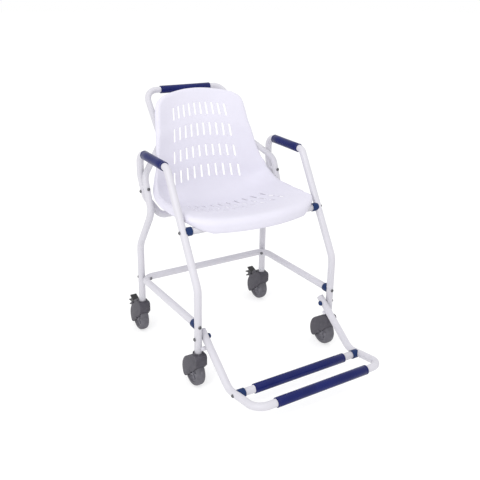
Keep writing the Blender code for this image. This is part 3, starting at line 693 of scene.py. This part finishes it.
def make_sleeves():
    fit = TUBE_R + 0.0002
    front = Vector((LEG_X, *ARM_FRONT))
    rear = Vector((LEG_X, *ARM_REAR))
    along = (rear - front).normalized()
    for label, side in SIDES:
        start = front + along * 0.0175
        end = rear - along * 0.0375
        start.x *= side
        end.x *= side
        sleeve("arm_grip_" + label, start, end, fit, SLEEVE_R, "frame")
    y, z = HANDLE_TOP
    sleeve("handle_sleeve", (0.104, y, z), (-0.104, y, z), HANDLE_R + 0.0002, HANDLE_SLEEVE_R, "frame")
    y, z = FOOT_FRONT
    sleeve("footrest_sleeve_front", (0.177, y, z), (-0.177, y, z), fit, SLEEVE_R, "footrest")
    y, z = FOOT_BAR_Y, foot_bar_z()
    sleeve("footrest_sleeve_rear", (0.180, y, z), (-0.180, y, z), fit, SLEEVE_R, "footrest")


# Footrest fittings

def make_footrest_fittings():
    down, along = foot_directions()
    bar_z = foot_bar_z()
    for label, side in SIDES:
        x = side * FOOT_X
        across = (-side, 0.0, 0.0)
        at = (x, FOOT_BAR_Y, bar_z)
        saddle("footrest_saddle_" + label, at, across, along, 0.040, "footrest")
        head = (x + side * (TUBE_R + GAP), FOOT_BAR_Y, bar_z)
        screw("footrest_bolt_" + label, head, across, 0.046, "footrest")
        make_tube_cap(label, Vector((x, *PIVOT)) - down * FOOT_STUB, -down)
        make_pivot(label, side)
        make_stop(label, side, down)


def make_tube_cap(label, end, outward):
    plug = TUBE_R - WALL - 0.0007
    profile = [(-0.0100, 0.0), (-0.0100, plug), (GAP, plug), (GAP, TUBE_R - 0.0002), (0.0008, TUBE_R)]
    for angle in (0, 20, 40, 60, 80):
        turn = radians(angle)
        profile.append((0.0012 + 0.0020 * sin(turn), TUBE_R - 0.0040 * (1.0 - cos(turn))))
    profile.append((0.0032, 0.0))
    node = "footrest_cap_" + label
    settle(lathe("look_" + node, end, outward, profile, "white", False), "white", "footrest", node)


def make_pivot(label, side):
    outer = side * (LEG_X + TUBE_R + GAP)
    inner = FOOT_X - TUBE_R - 0.0006
    length = LEG_X + TUBE_R + GAP - inner + 0.0035
    screw("pivot_bolt_" + label, (outer, *PIVOT), (-side, 0, 0), length, "frame", 0.0038, 0.0065)
    node = "pivot_cap_" + label
    profile = [(0.0, 0.0044), (0.0, 0.0088), (0.0003, 0.0090), (0.0015, 0.0090), (0.0020, 0.0086)]
    profile += [(0.0044, 0.0080), (0.0056, 0.0071), (0.0064, 0.0056), (0.0068, 0.0034), (0.0068, 0.0)]
    profile += [(0.0042, 0.0), (0.0042, 0.0044)]
    piece = lathe("look_" + node, (side * inner, *PIVOT), (-side, 0, 0), profile, "saddle")
    settle(piece, "saddle", "frame", node)


def make_stop(label, side, down):
    """A peg on the leg that the footrest tube rests on."""
    back_down = Vector((0.0, -down.z, down.y))
    at = Vector((0.0, *PIVOT)) + down * 0.0300 + back_down * (TUBE_R + 0.0070 + 0.0004)
    profile = rounded([(0.0, 0.0), (0.0, 0.0070), (0.0300, 0.0070), (0.0300, 0.0)], 0.0012)
    node = "footrest_stop_" + label
    root = (side * (LEG_X - 0.004), at.y, at.z)
    piece = lathe("look_" + node, root, (-side, 0, 0), profile, "white", False)
    low = (side * LEG_X, FRONT_LEG_Y, 0.10)
    leg = cutter_cylinder(low, (low[0], low[1], 0.20), TUBE_R + 0.0003)
    combine(piece, [leg], "DIFFERENCE")
    settle(piece, "white", "frame", node)


# Castors

def arc(centre, radius, start, end, step=4.0):
    """Points of an arc in (y, z), from one angle to another, in degrees."""
    count = max(2, round(abs(end - start) / step))
    points = []
    for k in range(count + 1):
        turn = radians(start + (end - start) * k / count)
        points.append((centre[0] + radius * cos(turn), centre[1] + radius * sin(turn)))
    return points


def curve(points, steps=5):
    """A smooth curve through (y, z) points."""
    made = []
    for i in range(len(points) - 1):
        a, b, c, d = (points[min(max(i + k, 0), len(points) - 1)] for k in (-1, 0, 1, 2))
        for s in range(steps):
            f = s / steps
            made.append(tuple(
                0.5 * (2 * b[n] + (c[n] - a[n]) * f + (2 * a[n] - 5 * b[n] + 4 * c[n] - d[n]) * f * f
                       + (3 * b[n] - a[n] - 3 * c[n] + d[n]) * f ** 3)
                for n in (0, 1)
            ))
    return made + [points[-1]]


def hood_outline():
    """Side view of the hood from the stem axis: upright front, round back, S-curved lower edge."""
    nose = [(-0.0240, 0.0890), (-0.0247, 0.1040), (-0.0245, 0.1170)]
    crown = curve([(-0.0245, 0.1170), (-0.0205, 0.1240), (-0.0150, HOOD_TOP_Z)], 4)
    slope = curve([(0.0060, HOOD_TOP_Z), (0.0230, 0.1145), (0.0442, 0.0998)], 4)
    back = arc((WHEEL_TRAIL, WHEEL_R), HOOD_R, 66.0, -28.0)
    tip = [back[-1], (0.0662, 0.0192), (0.0600, 0.0168), (0.0510, 0.0200)]
    under = curve(tip + [(0.0400, 0.0300), (0.0300, 0.0400), (0.0210, 0.0480)], 4)
    under += curve([(0.0210, 0.0480), (0.0060, 0.0600), (-0.0080, 0.0720), (-0.0240, 0.0890)], 4)[1:]
    return nose[:-1] + crown + slope[:-1] + back + under[1:-1]


def hood_mesh():
    """The moulded hood with its wheel pocket, collar and axle."""
    hood = bevel(prism("hood", hood_outline(), -HOOD_HALF, HOOD_HALF, "housing"), 0.0032, 3, 50.0)
    collar = rounded([(0.100, 0.0), (0.100, 0.0185), (COLLAR_TOP_Z, 0.0185), (COLLAR_TOP_Z, 0.0)], 0.0012)
    parts = [lathe("part", (0, 0, 0), (0, 0, 1), collar, "housing", False)]
    combine(hood, parts, "UNION")
    pocket = arc((WHEEL_TRAIL, WHEEL_R), POCKET_R, 0.0, 180.0)
    pocket += [(WHEEL_TRAIL - POCKET_R, -0.01), (WHEEL_TRAIL + POCKET_R, -0.01)]
    cuts = [
        bevel(prism("cutter", pocket, -POCKET_HALF, POCKET_HALF, "housing"), 0.0020, 2, 50.0),
        cutter_cylinder((0, 0, 0.1085), (0, 0, 0.140), 0.0148),
        cutter_cylinder((0, 0, 0.0995), (0, 0, 0.120), 0.0066),
    ]
    combine(hood, cuts, "DIFFERENCE")
    reach = POCKET_HALF + 0.0015
    parts = [cutter_cylinder((-reach, WHEEL_TRAIL, WHEEL_R), (reach, WHEEL_TRAIL, WHEEL_R), 0.0050)]
    combine(hood, parts, "UNION")
    return hood


def add_ears(hood):
    """A housing behind the collar of a rear hood, with two ears and a bar for the brake pedal."""
    housing = curve([(0.0165, 0.1258), (0.0300, 0.1232), (0.0430, 0.1165), (0.0508, 0.1060)], 4)
    housing += [(0.0512, 0.0965), (0.0400, 0.1010), (0.0165, 0.1035)]
    parts = [bevel(prism("part", housing, -0.0165, 0.0165, "housing"), 0.0020, 2, 40.0)]
    ear = [(PEDAL_Y - 0.0060, PEDAL_Z)]
    ear += arc((PEDAL_Y, PEDAL_Z), 0.0052, 150.0, 30.0, 20.0)
    ear += [(PEDAL_Y + 0.0060, PEDAL_Z), (PEDAL_Y + 0.0060, 0.0780), (PEDAL_Y - 0.0060, 0.0840)]
    for sign in (-1, 1):
        parts.append(prism("part", ear, sign * 0.0192, sign * 0.0164, "housing"))
    parts.append(cutter_cylinder((-0.0180, PEDAL_Y, PEDAL_Z), (0.0180, PEDAL_Y, PEDAL_Z), 0.0022, 20))
    return combine(hood, parts, "UNION")


def copy_of(source, name, kind):
    piece = add_object(name, source.data.copy())
    piece.data.materials.clear()
    piece.data.materials.append(MATERIALS[kind])
    return piece


def tyre_profile():
    """Cross-section of the soft tread, from one side of the hub to the other."""
    profile = [(-0.0120, 0.0340), (-0.0145, 0.0352), (-0.0150, 0.0390)]
    profile += [(-0.0147, 0.0425), (-0.0136, 0.0458), (-0.0112, 0.0482)]
    profile += [(-0.0078, 0.0495), (-0.0030, WHEEL_R)]
    return profile + [(-a, r) for a, r in reversed(profile)]


def hub_profile():
    """Cross-section of the hub: a flat bearing boss, a dished web and a rim that holds the tread."""
    profile = [(-0.0148, 0.0056), (-0.0148, 0.0115), (-0.0140, 0.0128), (-0.0100, 0.0140)]
    profile += [(-0.0080, 0.0170), (-0.0080, 0.0270), (-0.0098, 0.0300), (-0.0122, 0.0308)]
    profile += [(-0.0126, 0.0322), (-0.0122, 0.0338)]
    return profile + [(-a, r) for a, r in reversed(profile)]


def make_wheel(tag, at):
    tyre = lathe("tyre_" + tag, at, (1, 0, 0), tyre_profile(), "tyre", True, 72)
    settle(tyre, "tyre", "wheel_" + tag, "castor_wheel_" + tag)
    hub = lathe("hub_" + tag, at, (1, 0, 0), hub_profile(), "hub", True, 48)
    ribs = []
    for k in range(6):
        turn = Matrix.Rotation(k * pi / 3, 4, "X")
        outline = [(0.012, -0.0012), (0.031, -0.0012), (0.031, 0.0012), (0.012, 0.0012)]
        rib = prism("part", outline, -0.0104, 0.0104, "hub")
        rib.data.transform(Matrix.Translation(at) @ turn)
        ribs.append(rib)
    combine(hub, ribs, "UNION")
    settle(hub, "hub", "wheel_" + tag)


def make_axle_ends(tag, x, y):
    """The rivet heads of the axle, on the hood's cheeks."""
    for side in (1.0, -1.0):
        profile = [(-0.0008, 0.0), (-0.0008, 0.0062), (0.0004, 0.0062), (0.0009, 0.0055), (0.0011, 0.0044)]
        profile += [(0.0016, 0.0036), (0.0019, 0.0022), (0.0020, 0.0)]
        at = (x + side * HOOD_HALF, y + WHEEL_TRAIL, WHEEL_R)
        name = "axle_end_" + tag + "_" + ("outer" if side * x > 0 else "inner")
        settle(lathe(name, at, (side, 0, 0), profile, "housing", False, 32), "housing", "hood_" + tag)


def make_stem(tag, x, y):
    profile = [
        (0.1002, 0.0), (0.1002, 0.0056), (0.1006, 0.0060), (0.1090, 0.0060), (0.1090, 0.0120),
        (0.1112, 0.0120), (LEG_BOTTOM_Z - GAP, 0.0117), (LEG_BOTTOM_Z - GAP, 0.0103),
        (0.1480, 0.0103), (0.1500, 0.0088), (0.1500, 0.0),
    ]
    piece = lathe("look_castor_stem_" + tag, (x, y, 0.0), (0, 0, 1), profile, "stem", False)
    settle(piece, "stem", "frame", "castor_stem_" + tag)


def pedal_outline():
    """Side view of the brake pedal: a raised thumb pad and two lips that reach back."""
    pad = curve([(-0.0035, 0.0045), (0.0010, 0.0090), (0.0140, 0.0140), (0.0280, 0.0185)], 3)
    pad += curve([(0.0280, 0.0185), (0.0308, 0.0180), (0.0310, 0.0150)], 3)
    upper = [(0.0310, 0.0150), (0.0240, 0.0100), (0.0215, 0.0062), (0.0300, 0.0015), (0.0450, -0.0055)]
    upper = curve(upper, 3)
    upper += [(0.0456, -0.0078), (0.0450, -0.0096)]
    middle = [(0.0450, -0.0096), (0.0330, -0.0078), (0.0244, -0.0062)]
    middle = curve(middle + [(0.0250, -0.0110), (0.0300, -0.0150), (0.0410, -0.0225)], 3)
    lower = [(0.0414, -0.0250), (0.0400, -0.0265), (0.0300, -0.0226), (0.0200, -0.0180)]
    rest = [(0.0140, -0.0112), (0.0100, -0.0066), (0.0060, -0.0052), (0.0000, -0.0053), (-0.0035, -0.0042)]
    return [(-0.0052, 0.0000)] + pad + upper[1:] + middle[1:] + lower + rest


def make_pedal(label, x, y):
    pedal = prism("look_brake_pedal_" + label, pedal_outline(), -0.0125, 0.0125, "pedal")
    bevel(pedal, 0.0008, 2, 45.0)
    cuts = [cutter_cylinder((-0.02, 0, 0), (0.02, 0, 0), 0.0026, 24)]
    combine(pedal, cuts, "DIFFERENCE")
    ribs = []
    for k in range(5):
        share = k / 4.0
        at = (0.0040 + 0.0210 * share, 0.0103 + 0.0072 * share)
        rib = prism("part", arc(at, 0.0009, 0.0, 330.0, 30.0), -0.0105, 0.0105, "pedal")
        ribs.append(rib)
    combine(pedal, ribs, "UNION")
    pedal.data.transform(Matrix.Translation((x, y + PEDAL_Y, PEDAL_Z)))
    settle(pedal, "pedal", "pedal_" + label, "brake_pedal_" + label)


def make_castors():
    plain = hood_mesh()
    braked = add_ears(copy_of(plain, "hood_braked", "housing"))
    for row, y in (("front", FRONT_LEG_Y), ("rear", REAR_LEG_Y)):
        for label, side in SIDES:
            x = side * LEG_X
            tag = row + "_" + label
            hood = copy_of(braked if row == "rear" else plain, "look_castor_hood_" + tag, "housing")
            hood.data.transform(Matrix.Translation((x, y, 0.0)))
            settle(hood, "housing", "hood_" + tag, "castor_hood_" + tag)
            make_wheel(tag, Vector((x, y + WHEEL_TRAIL, WHEEL_R)))
            make_axle_ends(tag, x, y)
            make_stem(tag, x, y)
            if row == "rear":
                make_pedal(label, x, y)
    for source in (plain, braked):
        bpy.data.objects.remove(source, do_unlink=True)


# Seat shell
# Stations from the front lip over the pan and up the back, as in the CAD, with a larger roll at the back.
STATIONS = (
    # y, z, half width, pitch, bow y, bow z, side y, side z, rim radius, rim depth
    (-0.0940, 0.5480, 0.175, 0.0345, 0.80, 0.10, 0.000, 0.000, 0.0220, 0.0200),
    (-0.0850, 0.5482, 0.209, 0.0375, 0.68, 0.12, 0.000, 0.000, 0.0180, 0.0140),
    (-0.0700, 0.5465, 0.232, 0.0390, 0.55, 0.20, 0.000, 0.000, 0.0150, 0.0070),
    (-0.0450, 0.5420, 0.239, 0.0395, 0.30, 0.32, 0.000, 0.000, 0.0130, 0.0090),
    (0.0000, 0.5350, 0.237, 0.0385, 0.10, 0.45, 0.000, 0.000, 0.0120, 0.0150),
    (0.0300, 0.5295, 0.238, 0.0380, -0.15, 0.58, 0.000, 0.000, 0.0120, 0.0150),
    (0.0720, 0.5210, 0.238, 0.0370, -0.40, 0.70, 0.000, 0.000, 0.0120, 0.0150),
    (0.0840, 0.5185, 0.238, 0.0365, -0.45, 0.74, 0.000, 0.000, 0.0120, 0.0150),
    (0.1240, 0.5120, 0.238, 0.0350, -0.65, 0.82, 0.000, 0.002, 0.0120, 0.0150),
    (0.1360, 0.5105, 0.238, 0.0345, -0.70, 0.84, 0.000, 0.003, 0.0120, 0.0150),
    (0.1760, 0.5075, 0.238, 0.0335, -0.85, 0.84, 0.000, 0.006, 0.0120, 0.0150),
    (0.2060, 0.5090, 0.238, 0.0328, -0.92, 0.76, -0.001, 0.010, 0.0110, 0.0140),
    (0.2320, 0.5160, 0.237, 0.0322, -0.96, 0.58, -0.003, 0.016, 0.0105, 0.0128),
    (0.2560, 0.5300, 0.235, 0.0317, -0.98, 0.25, -0.006, 0.028, 0.0100, 0.0107),
    (0.2760, 0.5510, 0.231, 0.0312, -1.00, -0.18, -0.010, 0.045, 0.0095, 0.0086),
    (0.2910, 0.5800, 0.226, 0.0308, -1.02, -0.60, -0.013, 0.058, 0.0075, 0.0064),
    (0.3010, 0.6250, 0.220, 0.0299, -1.07, -0.64, -0.013, 0.038, 0.0068, 0.0030),
    (0.3090, 0.6540, 0.213, 0.0287, -1.14, -0.66, -0.012, 0.020, 0.0066, 0.0012),
    (0.3180, 0.6960, 0.203, 0.0276, -1.22, -0.68, -0.009, 0.008, 0.0066, 0.0012),
    (0.3260, 0.7290, 0.194, 0.0265, -1.32, -0.72, -0.005, 0.000, 0.0090, 0.0020),
    (0.3350, 0.7750, 0.182, 0.0254, -1.42, -0.80, 0.000, 0.000, 0.0120, 0.0030),
    (0.3460, 0.8040, 0.175, 0.0245, -1.50, -0.86, 0.000, 0.000, 0.0130, 0.0030),
    (0.3600, 0.8470, 0.168, 0.0234, -1.62, -0.90, 0.000, 0.000, 0.0135, 0.0030),
    (0.3670, 0.8690, 0.164, 0.0230, -1.66, -0.92, 0.000, 0.000, 0.0130, 0.0022),
    (0.3710, 0.8820, 0.156, 0.0228, -1.68, -0.94, 0.000, 0.000, 0.0120, 0.0020),
    (0.3735, 0.8900, 0.138, 0.0226, -1.68, -0.94, 0.000, 0.000, 0.0100, 0.0020),
)
SLOT_STARTS = (5, 7, 9, 15, 17, 19, 21)
SIDE_FROM = 0.130
SIDE_TO = 0.235
CELL = 0.0062
CELL_OVER = 0.0035
ROW_STEP = 0.0070


def station_lengths():
    """Distance of each station along the middle line, from the front lip."""
    lengths = [0.0]
    for first, second in zip(STATIONS, STATIONS[1:]):
        lengths.append(lengths[-1] + sqrt((second[0] - first[0]) ** 2 + (second[1] - first[1]) ** 2))
    return lengths


LENGTHS = station_lengths()


def station_at(u):
    """All values of the shell at a distance along its middle line, eased between the stations."""
    last = len(STATIONS) - 1
    i = 0
    while i < last - 1 and LENGTHS[i + 1] <= u:
        i += 1
    span = LENGTHS[i + 1] - LENGTHS[i]
    f = (u - LENGTHS[i]) / span
    values = []
    for n in range(len(STATIONS[0])):
        ends = []
        for k in (i, i + 1):
            before, after = max(k - 1, 0), min(k + 1, last)
            rise = STATIONS[after][n] - STATIONS[before][n]
            ends.append(rise / (LENGTHS[after] - LENGTHS[before]) * span)
        start, end = STATIONS[i][n], STATIONS[i + 1][n]
        values.append(
            start * (2 * f ** 3 - 3 * f ** 2 + 1) + end * (3 * f ** 2 - 2 * f ** 3)
            + ends[0] * (f ** 3 - 2 * f ** 2 + f) + ends[1] * (f ** 3 - f ** 2)
        )
    return values


def surface(u, x):
    y, z, _, _, bow_y, bow_z, side_y, side_z, _, _ = station_at(u)
    outer = max(0.0, (abs(x) - SIDE_FROM) / (SIDE_TO - SIDE_FROM)) ** 2
    return Vector((x, y + bow_y * x * x + side_y * outer, z + bow_z * x * x + side_z * outer))


def normal_at(u, x):
    step = 0.0015
    low = max(u - step, 0.0)
    high = min(u + step, LENGTHS[-1])
    across = surface(u, x + step) - surface(u, x - step)
    return across.cross(surface(high, x) - surface(low, x)).normalized()


def row_lines():
    """Distances of the grid's rows, and for each slot row the first and last line of its cells."""
    lines = []
    cells = []
    edge = 0.0
    for i in SLOT_STARTS:
        start = LENGTHS[i] - CELL_OVER
        end = LENGTHS[i + 1] + CELL_OVER
        count = max(1, round((start - edge) / ROW_STEP))
        lines += [edge + (start - edge) * k / count for k in range(count)]
        first = len(lines)
        inner = 2 * CELL_OVER * 0.7
        steps = max(2, round((end - start - 2 * inner) / ROW_STEP))
        lines += [start]
        lines += [start + inner + (end - start - 2 * inner) * k / steps for k in range(steps + 1)]
        lines += [end]
        cells.append((first, len(lines) - 1))
        edge = end
        lines.pop()
    count = max(1, round((LENGTHS[-1] - edge) / ROW_STEP))
    lines += [edge + (LENGTHS[-1] - edge) * k / count for k in range(count + 1)]
    return lines, cells


def column_xs(u):
    """Places of the grid's columns at a distance along the shell."""
    values = station_at(u)
    half, pitch = values[2], values[3]
    middles = [(k - (SLOTS_PER_ROW - 1) / 2) * pitch for k in range(SLOTS_PER_ROW)]
    xs = []
    for k, middle in enumerate(middles):
        xs += [middle + CELL * share for share in (-1.0, -0.5, 0.0, 0.5, 1.0)]
        if k < SLOTS_PER_ROW - 1:
            xs.append((middle + middles[k + 1]) / 2)
    reach = half - xs[-1]
    spare = [xs[-1] + reach * k / 6 for k in range(1, 7)]
    return [-v for v in reversed(spare)] + xs + spare


def cell_boundary(row, column):
    """Grid indices round one slot's cell, in order."""
    first, last = row
    loop = [(first, j) for j in range(column, column + 4)]
    loop += [(i, column + 4) for i in range(first, last)]
    loop += [(last, j) for j in range(column + 4, column, -1)]
    loop += [(i, column) for i in range(last, first, -1)]
    return loop


def slot_point(here, centre_x, start, end, radius):
    """The point on a slot's rounded outline that faces a point (u, x) of its cell's edge."""
    u, x = here
    core = min(max(u, start + SLOT_R), end - SLOT_R)
    away_u = u - core
    away_x = x - centre_x(u)
    reach = sqrt(away_u ** 2 + away_x ** 2)
    at_u = core + radius * away_u / reach
    return at_u, centre_x(at_u) + radius * away_x / reach


def make_shell():
    lines, cells = row_lines()
    columns = [column_xs(u) for u in lines]
    rows, count = len(lines), len(columns[0])
    grid = [[surface(u, x) for x in xs] for u, xs in zip(lines, columns)]
    normals = [[normal_at(u, x) for x in xs] for u, xs in zip(lines, columns)]
    bm = bmesh.new()
    top = [[bm.verts.new(p) for p in line] for line in grid]
    under = []
    for line, facing in zip(grid, normals):
        under.append([bm.verts.new(p - n * SHELL_T) for p, n in zip(line, facing)])
    holes = set()
    spare = 6
    for row, slot_start in zip(cells, SLOT_STARTS):
        for k in range(SLOTS_PER_ROW):
            column = spare + 6 * k
            for i in range(*row):
                holes |= {(i, j) for j in range(column, column + 4)}
            add_slot(bm, top, under, lines, columns, row, column, k, slot_start)
    for i in range(rows - 1):
        for j in range(count - 1):
            if (i, j) in holes:
                continue
            corners = ((i, j), (i, j + 1), (i + 1, j + 1), (i + 1, j))
            bm.faces.new([top[a][b] for a, b in corners])
            bm.faces.new([under[a][b] for a, b in reversed(corners)])
    add_rim(bm, top, under, grid, normals, lines)
    piece = new_piece("look_seat_shell", bm, "shell", 60.0)
    settle(piece, "shell", "frame", "seat_shell")


def add_slot(bm, top, under, lines, columns, row, column, k, slot_start):
    """The rounded walls of one slot, joined to the edge of its cell on both faces of the shell."""
    start, end = LENGTHS[slot_start], LENGTHS[slot_start + 1]
    share = k - (SLOTS_PER_ROW - 1) / 2

    def centre_x(u):
        return share * station_at(u)[3]

    loop = cell_boundary(row, column)
    ease = 0.0012
    draft = 0.0014
    layers = ((ease, 0.0), (0.0002, 0.0002), (0.0, ease), (draft, SHELL_T - ease))
    layers += ((draft + 0.0002, SHELL_T - 0.0002), (draft + ease, SHELL_T))
    last = [top[i][j] for i, j in loop]
    for grow, depth in layers:
        verts = []
        for i, j in loop:
            u, x = slot_point((lines[i], columns[i][j]), centre_x, start, end, SLOT_R + grow)
            verts.append(bm.verts.new(surface(u, x) - normal_at(u, x) * depth))
        bridge(bm, last, verts)
        last = verts
    bridge(bm, last, [under[i][j] for i, j in loop])


def rim_loop(rows, count):
    loop = [(0, j) for j in range(count)]
    loop += [(i, count - 1) for i in range(1, rows)]
    loop += [(rows - 1, j) for j in range(count - 2, -1, -1)]
    loop += [(i, 0) for i in range(rows - 2, 0, -1)]
    return loop


def add_rim(bm, top, under, grid, normals, lines):
    """The rolled rim: an arc outward and down from the edge, then a straight skirt with a lip."""
    loop = rim_loop(len(grid), len(grid[0]))
    count = len(loop)
    outs = []
    for k, (i, j) in enumerate(loop):
        here = grid[i][j]
        before = grid[loop[k - 1][0]][loop[k - 1][1]]
        after = grid[loop[(k + 1) % count][0]][loop[(k + 1) % count][1]]
        tangent = ((after - here).normalized() + (here - before).normalized()).normalized()
        outs.append(tangent.cross(normals[i][j]).normalized())
    rims = [station_at(u)[8:] for u in lines]
    half_t = SHELL_T / 2
    steps = [("arc", radians(a)) for a in range(15, 91, 15)] + [("skirt", 0.5), ("skirt", 1.0)]
    outer_last = [top[i][j] for i, j in loop]
    inner_last = [under[i][j] for i, j in loop]
    for kind, value in steps:
        outer_new = []
        inner_new = []
        for (i, j), out in zip(loop, outs):
            here, normal = grid[i][j], normals[i][j]
            radius, depth = rims[i]
            angle = value if kind == "arc" else pi / 2
            drop = depth * value if kind == "skirt" else 0.0
            point = here + out * radius * sin(angle) - normal * (radius * (1 - cos(angle)) + drop)
            facing = normal * cos(angle) + out * sin(angle)
            outer_new.append(bm.verts.new(point))
            inner_new.append(bm.verts.new(point - facing * SHELL_T))
        bridge(bm, outer_last, outer_new)
        bridge(bm, inner_last, inner_new)
        outer_last = outer_new
        inner_last = inner_new
    last = outer_last
    for angle in (45, 90, 135):
        verts = []
        turn = radians(angle)
        for k, (i, j) in enumerate(loop):
            middle = (outer_last[k].co + inner_last[k].co) / 2
            outward = outs[k] * half_t * cos(turn)
            downward = normals[i][j] * 0.5 * half_t * sin(turn)
            verts.append(bm.verts.new(middle + outward - downward))
        bridge(bm, last, verts)
        last = verts
    bridge(bm, last, inner_last)


def make_clips():
    """Blocks that carry the shell: each hooks over a cross tube and meets the underside of the shell."""
    specs = (
        ("seat_clip_front_", 0.120, seat_tube_y(), SEAT_TUBE_Z, 0.5430, 0.5400),
        ("seat_clip_rear_", 0.100, SEAT_BAR[1], SEAT_BAR[2], 0.5125, 0.5190),
    )
    for prefix, x, y, z, top_front, top_rear in specs:
        outline = arc((y, z), 0.0165, 215.0, 140.0, 12.0)
        outline += [(y - 0.0100, top_front), (y + 0.0100, top_rear)]
        outline += arc((y, z), 0.0165, 40.0, -35.0, 12.0)
        outline += arc((y, z), 0.0129, -35.0, 215.0, 12.0)
        for label, side in SIDES:
            low, high = sorted((side * (x - 0.014), side * (x + 0.014)))
            node = prefix + label
            clip = bevel(prism("look_" + node, outline, low, high, "white"), 0.0012, 2, 50.0)
            settle(clip, "white", "frame", node)


# Camera, floor and light

CAMERA_AT = (-1.1632, -1.7906, 1.2522)
CAMERA_AZIMUTH = 31.905
CAMERA_PITCH = 19.639
CAMERA_ROLL = -0.774
CAMERA_LENS = 49.34
CAMERA_SHIFT = (0.0098, -0.0392)


def make_camera():
    data = bpy.data.cameras.new("camera")
    data.lens = CAMERA_LENS
    data.sensor_width = 36.0
    data.shift_x, data.shift_y = CAMERA_SHIFT
    camera = add_object("camera", data)
    azimuth, pitch, roll = (radians(a) for a in (CAMERA_AZIMUTH, CAMERA_PITCH, CAMERA_ROLL))
    ahead = Vector((sin(azimuth) * cos(pitch), cos(azimuth) * cos(pitch), -sin(pitch)))
    right = Vector((cos(azimuth), -sin(azimuth), 0.0))
    down = ahead.cross(right)
    right, down = cos(roll) * right + sin(roll) * down, cos(roll) * down - sin(roll) * right
    turn = Matrix((right, -down, -ahead)).transposed().to_4x4()
    camera.matrix_world = Matrix.Translation(CAMERA_AT) @ turn
    bpy.context.scene.camera = camera


def area_light(name, at, towards, size, power):
    data = bpy.data.lights.new(name, "AREA")
    data.shape = "RECTANGLE"
    data.size, data.size_y = size
    data.energy = power
    light = add_object(name, data)
    light.location = at
    light.rotation_euler = (Vector(towards) - Vector(at)).to_track_quat("-Z", "Y").to_euler()


def make_floor():
    bm = bmesh.new()
    bmesh.ops.create_grid(bm, x_segments=1, y_segments=1, size=30.0)
    mesh = bpy.data.meshes.new("floor")
    bm.to_mesh(mesh)
    bm.free()
    floor = add_object("floor", mesh)
    made = bpy.data.materials.new("floor_white")
    made.use_nodes = True
    shader = made.node_tree.nodes["Principled BSDF"]
    shader.inputs["Base Color"].default_value = (0.50, 0.50, 0.50, 1.0)
    shader.inputs["Roughness"].default_value = 0.9
    shader.inputs["Specular IOR Level"].default_value = 0.0
    shader.inputs["Emission Color"].default_value = (1.0, 1.0, 1.0, 1.0)
    shader.inputs["Emission Strength"].default_value = 0.56
    mesh.materials.append(made)


def make_light():
    world = bpy.data.worlds.new("studio")
    world.use_nodes = True
    bpy.context.scene.world = world
    sky = world.node_tree.nodes["Background"]
    sky.inputs["Color"].default_value = (1.0, 1.0, 1.0, 1.0)
    sky.inputs["Strength"].default_value = 1.0
    area_light("key", (-2.7, -1.7, 2.3), (0.0, 0.0, 0.45), (1.4, 1.4), 36.0)
    area_light("strip", (-0.9, -2.2, 2.9), (0.0, -0.2, 0.2), (1.8, 0.10), 12.0)
    area_light("top", (0.3, 0.2, 3.2), (0.0, 0.1, 0.4), (1.6, 1.6), 6.0)
    bpy.context.scene.view_settings.view_transform = "Standard"


MATERIALS = make_materials()
make_camera()
make_tubes()
make_joints()
make_sleeves()
make_footrest_fittings()
make_castors()
make_shell()
make_clips()
make_floor()
make_light()
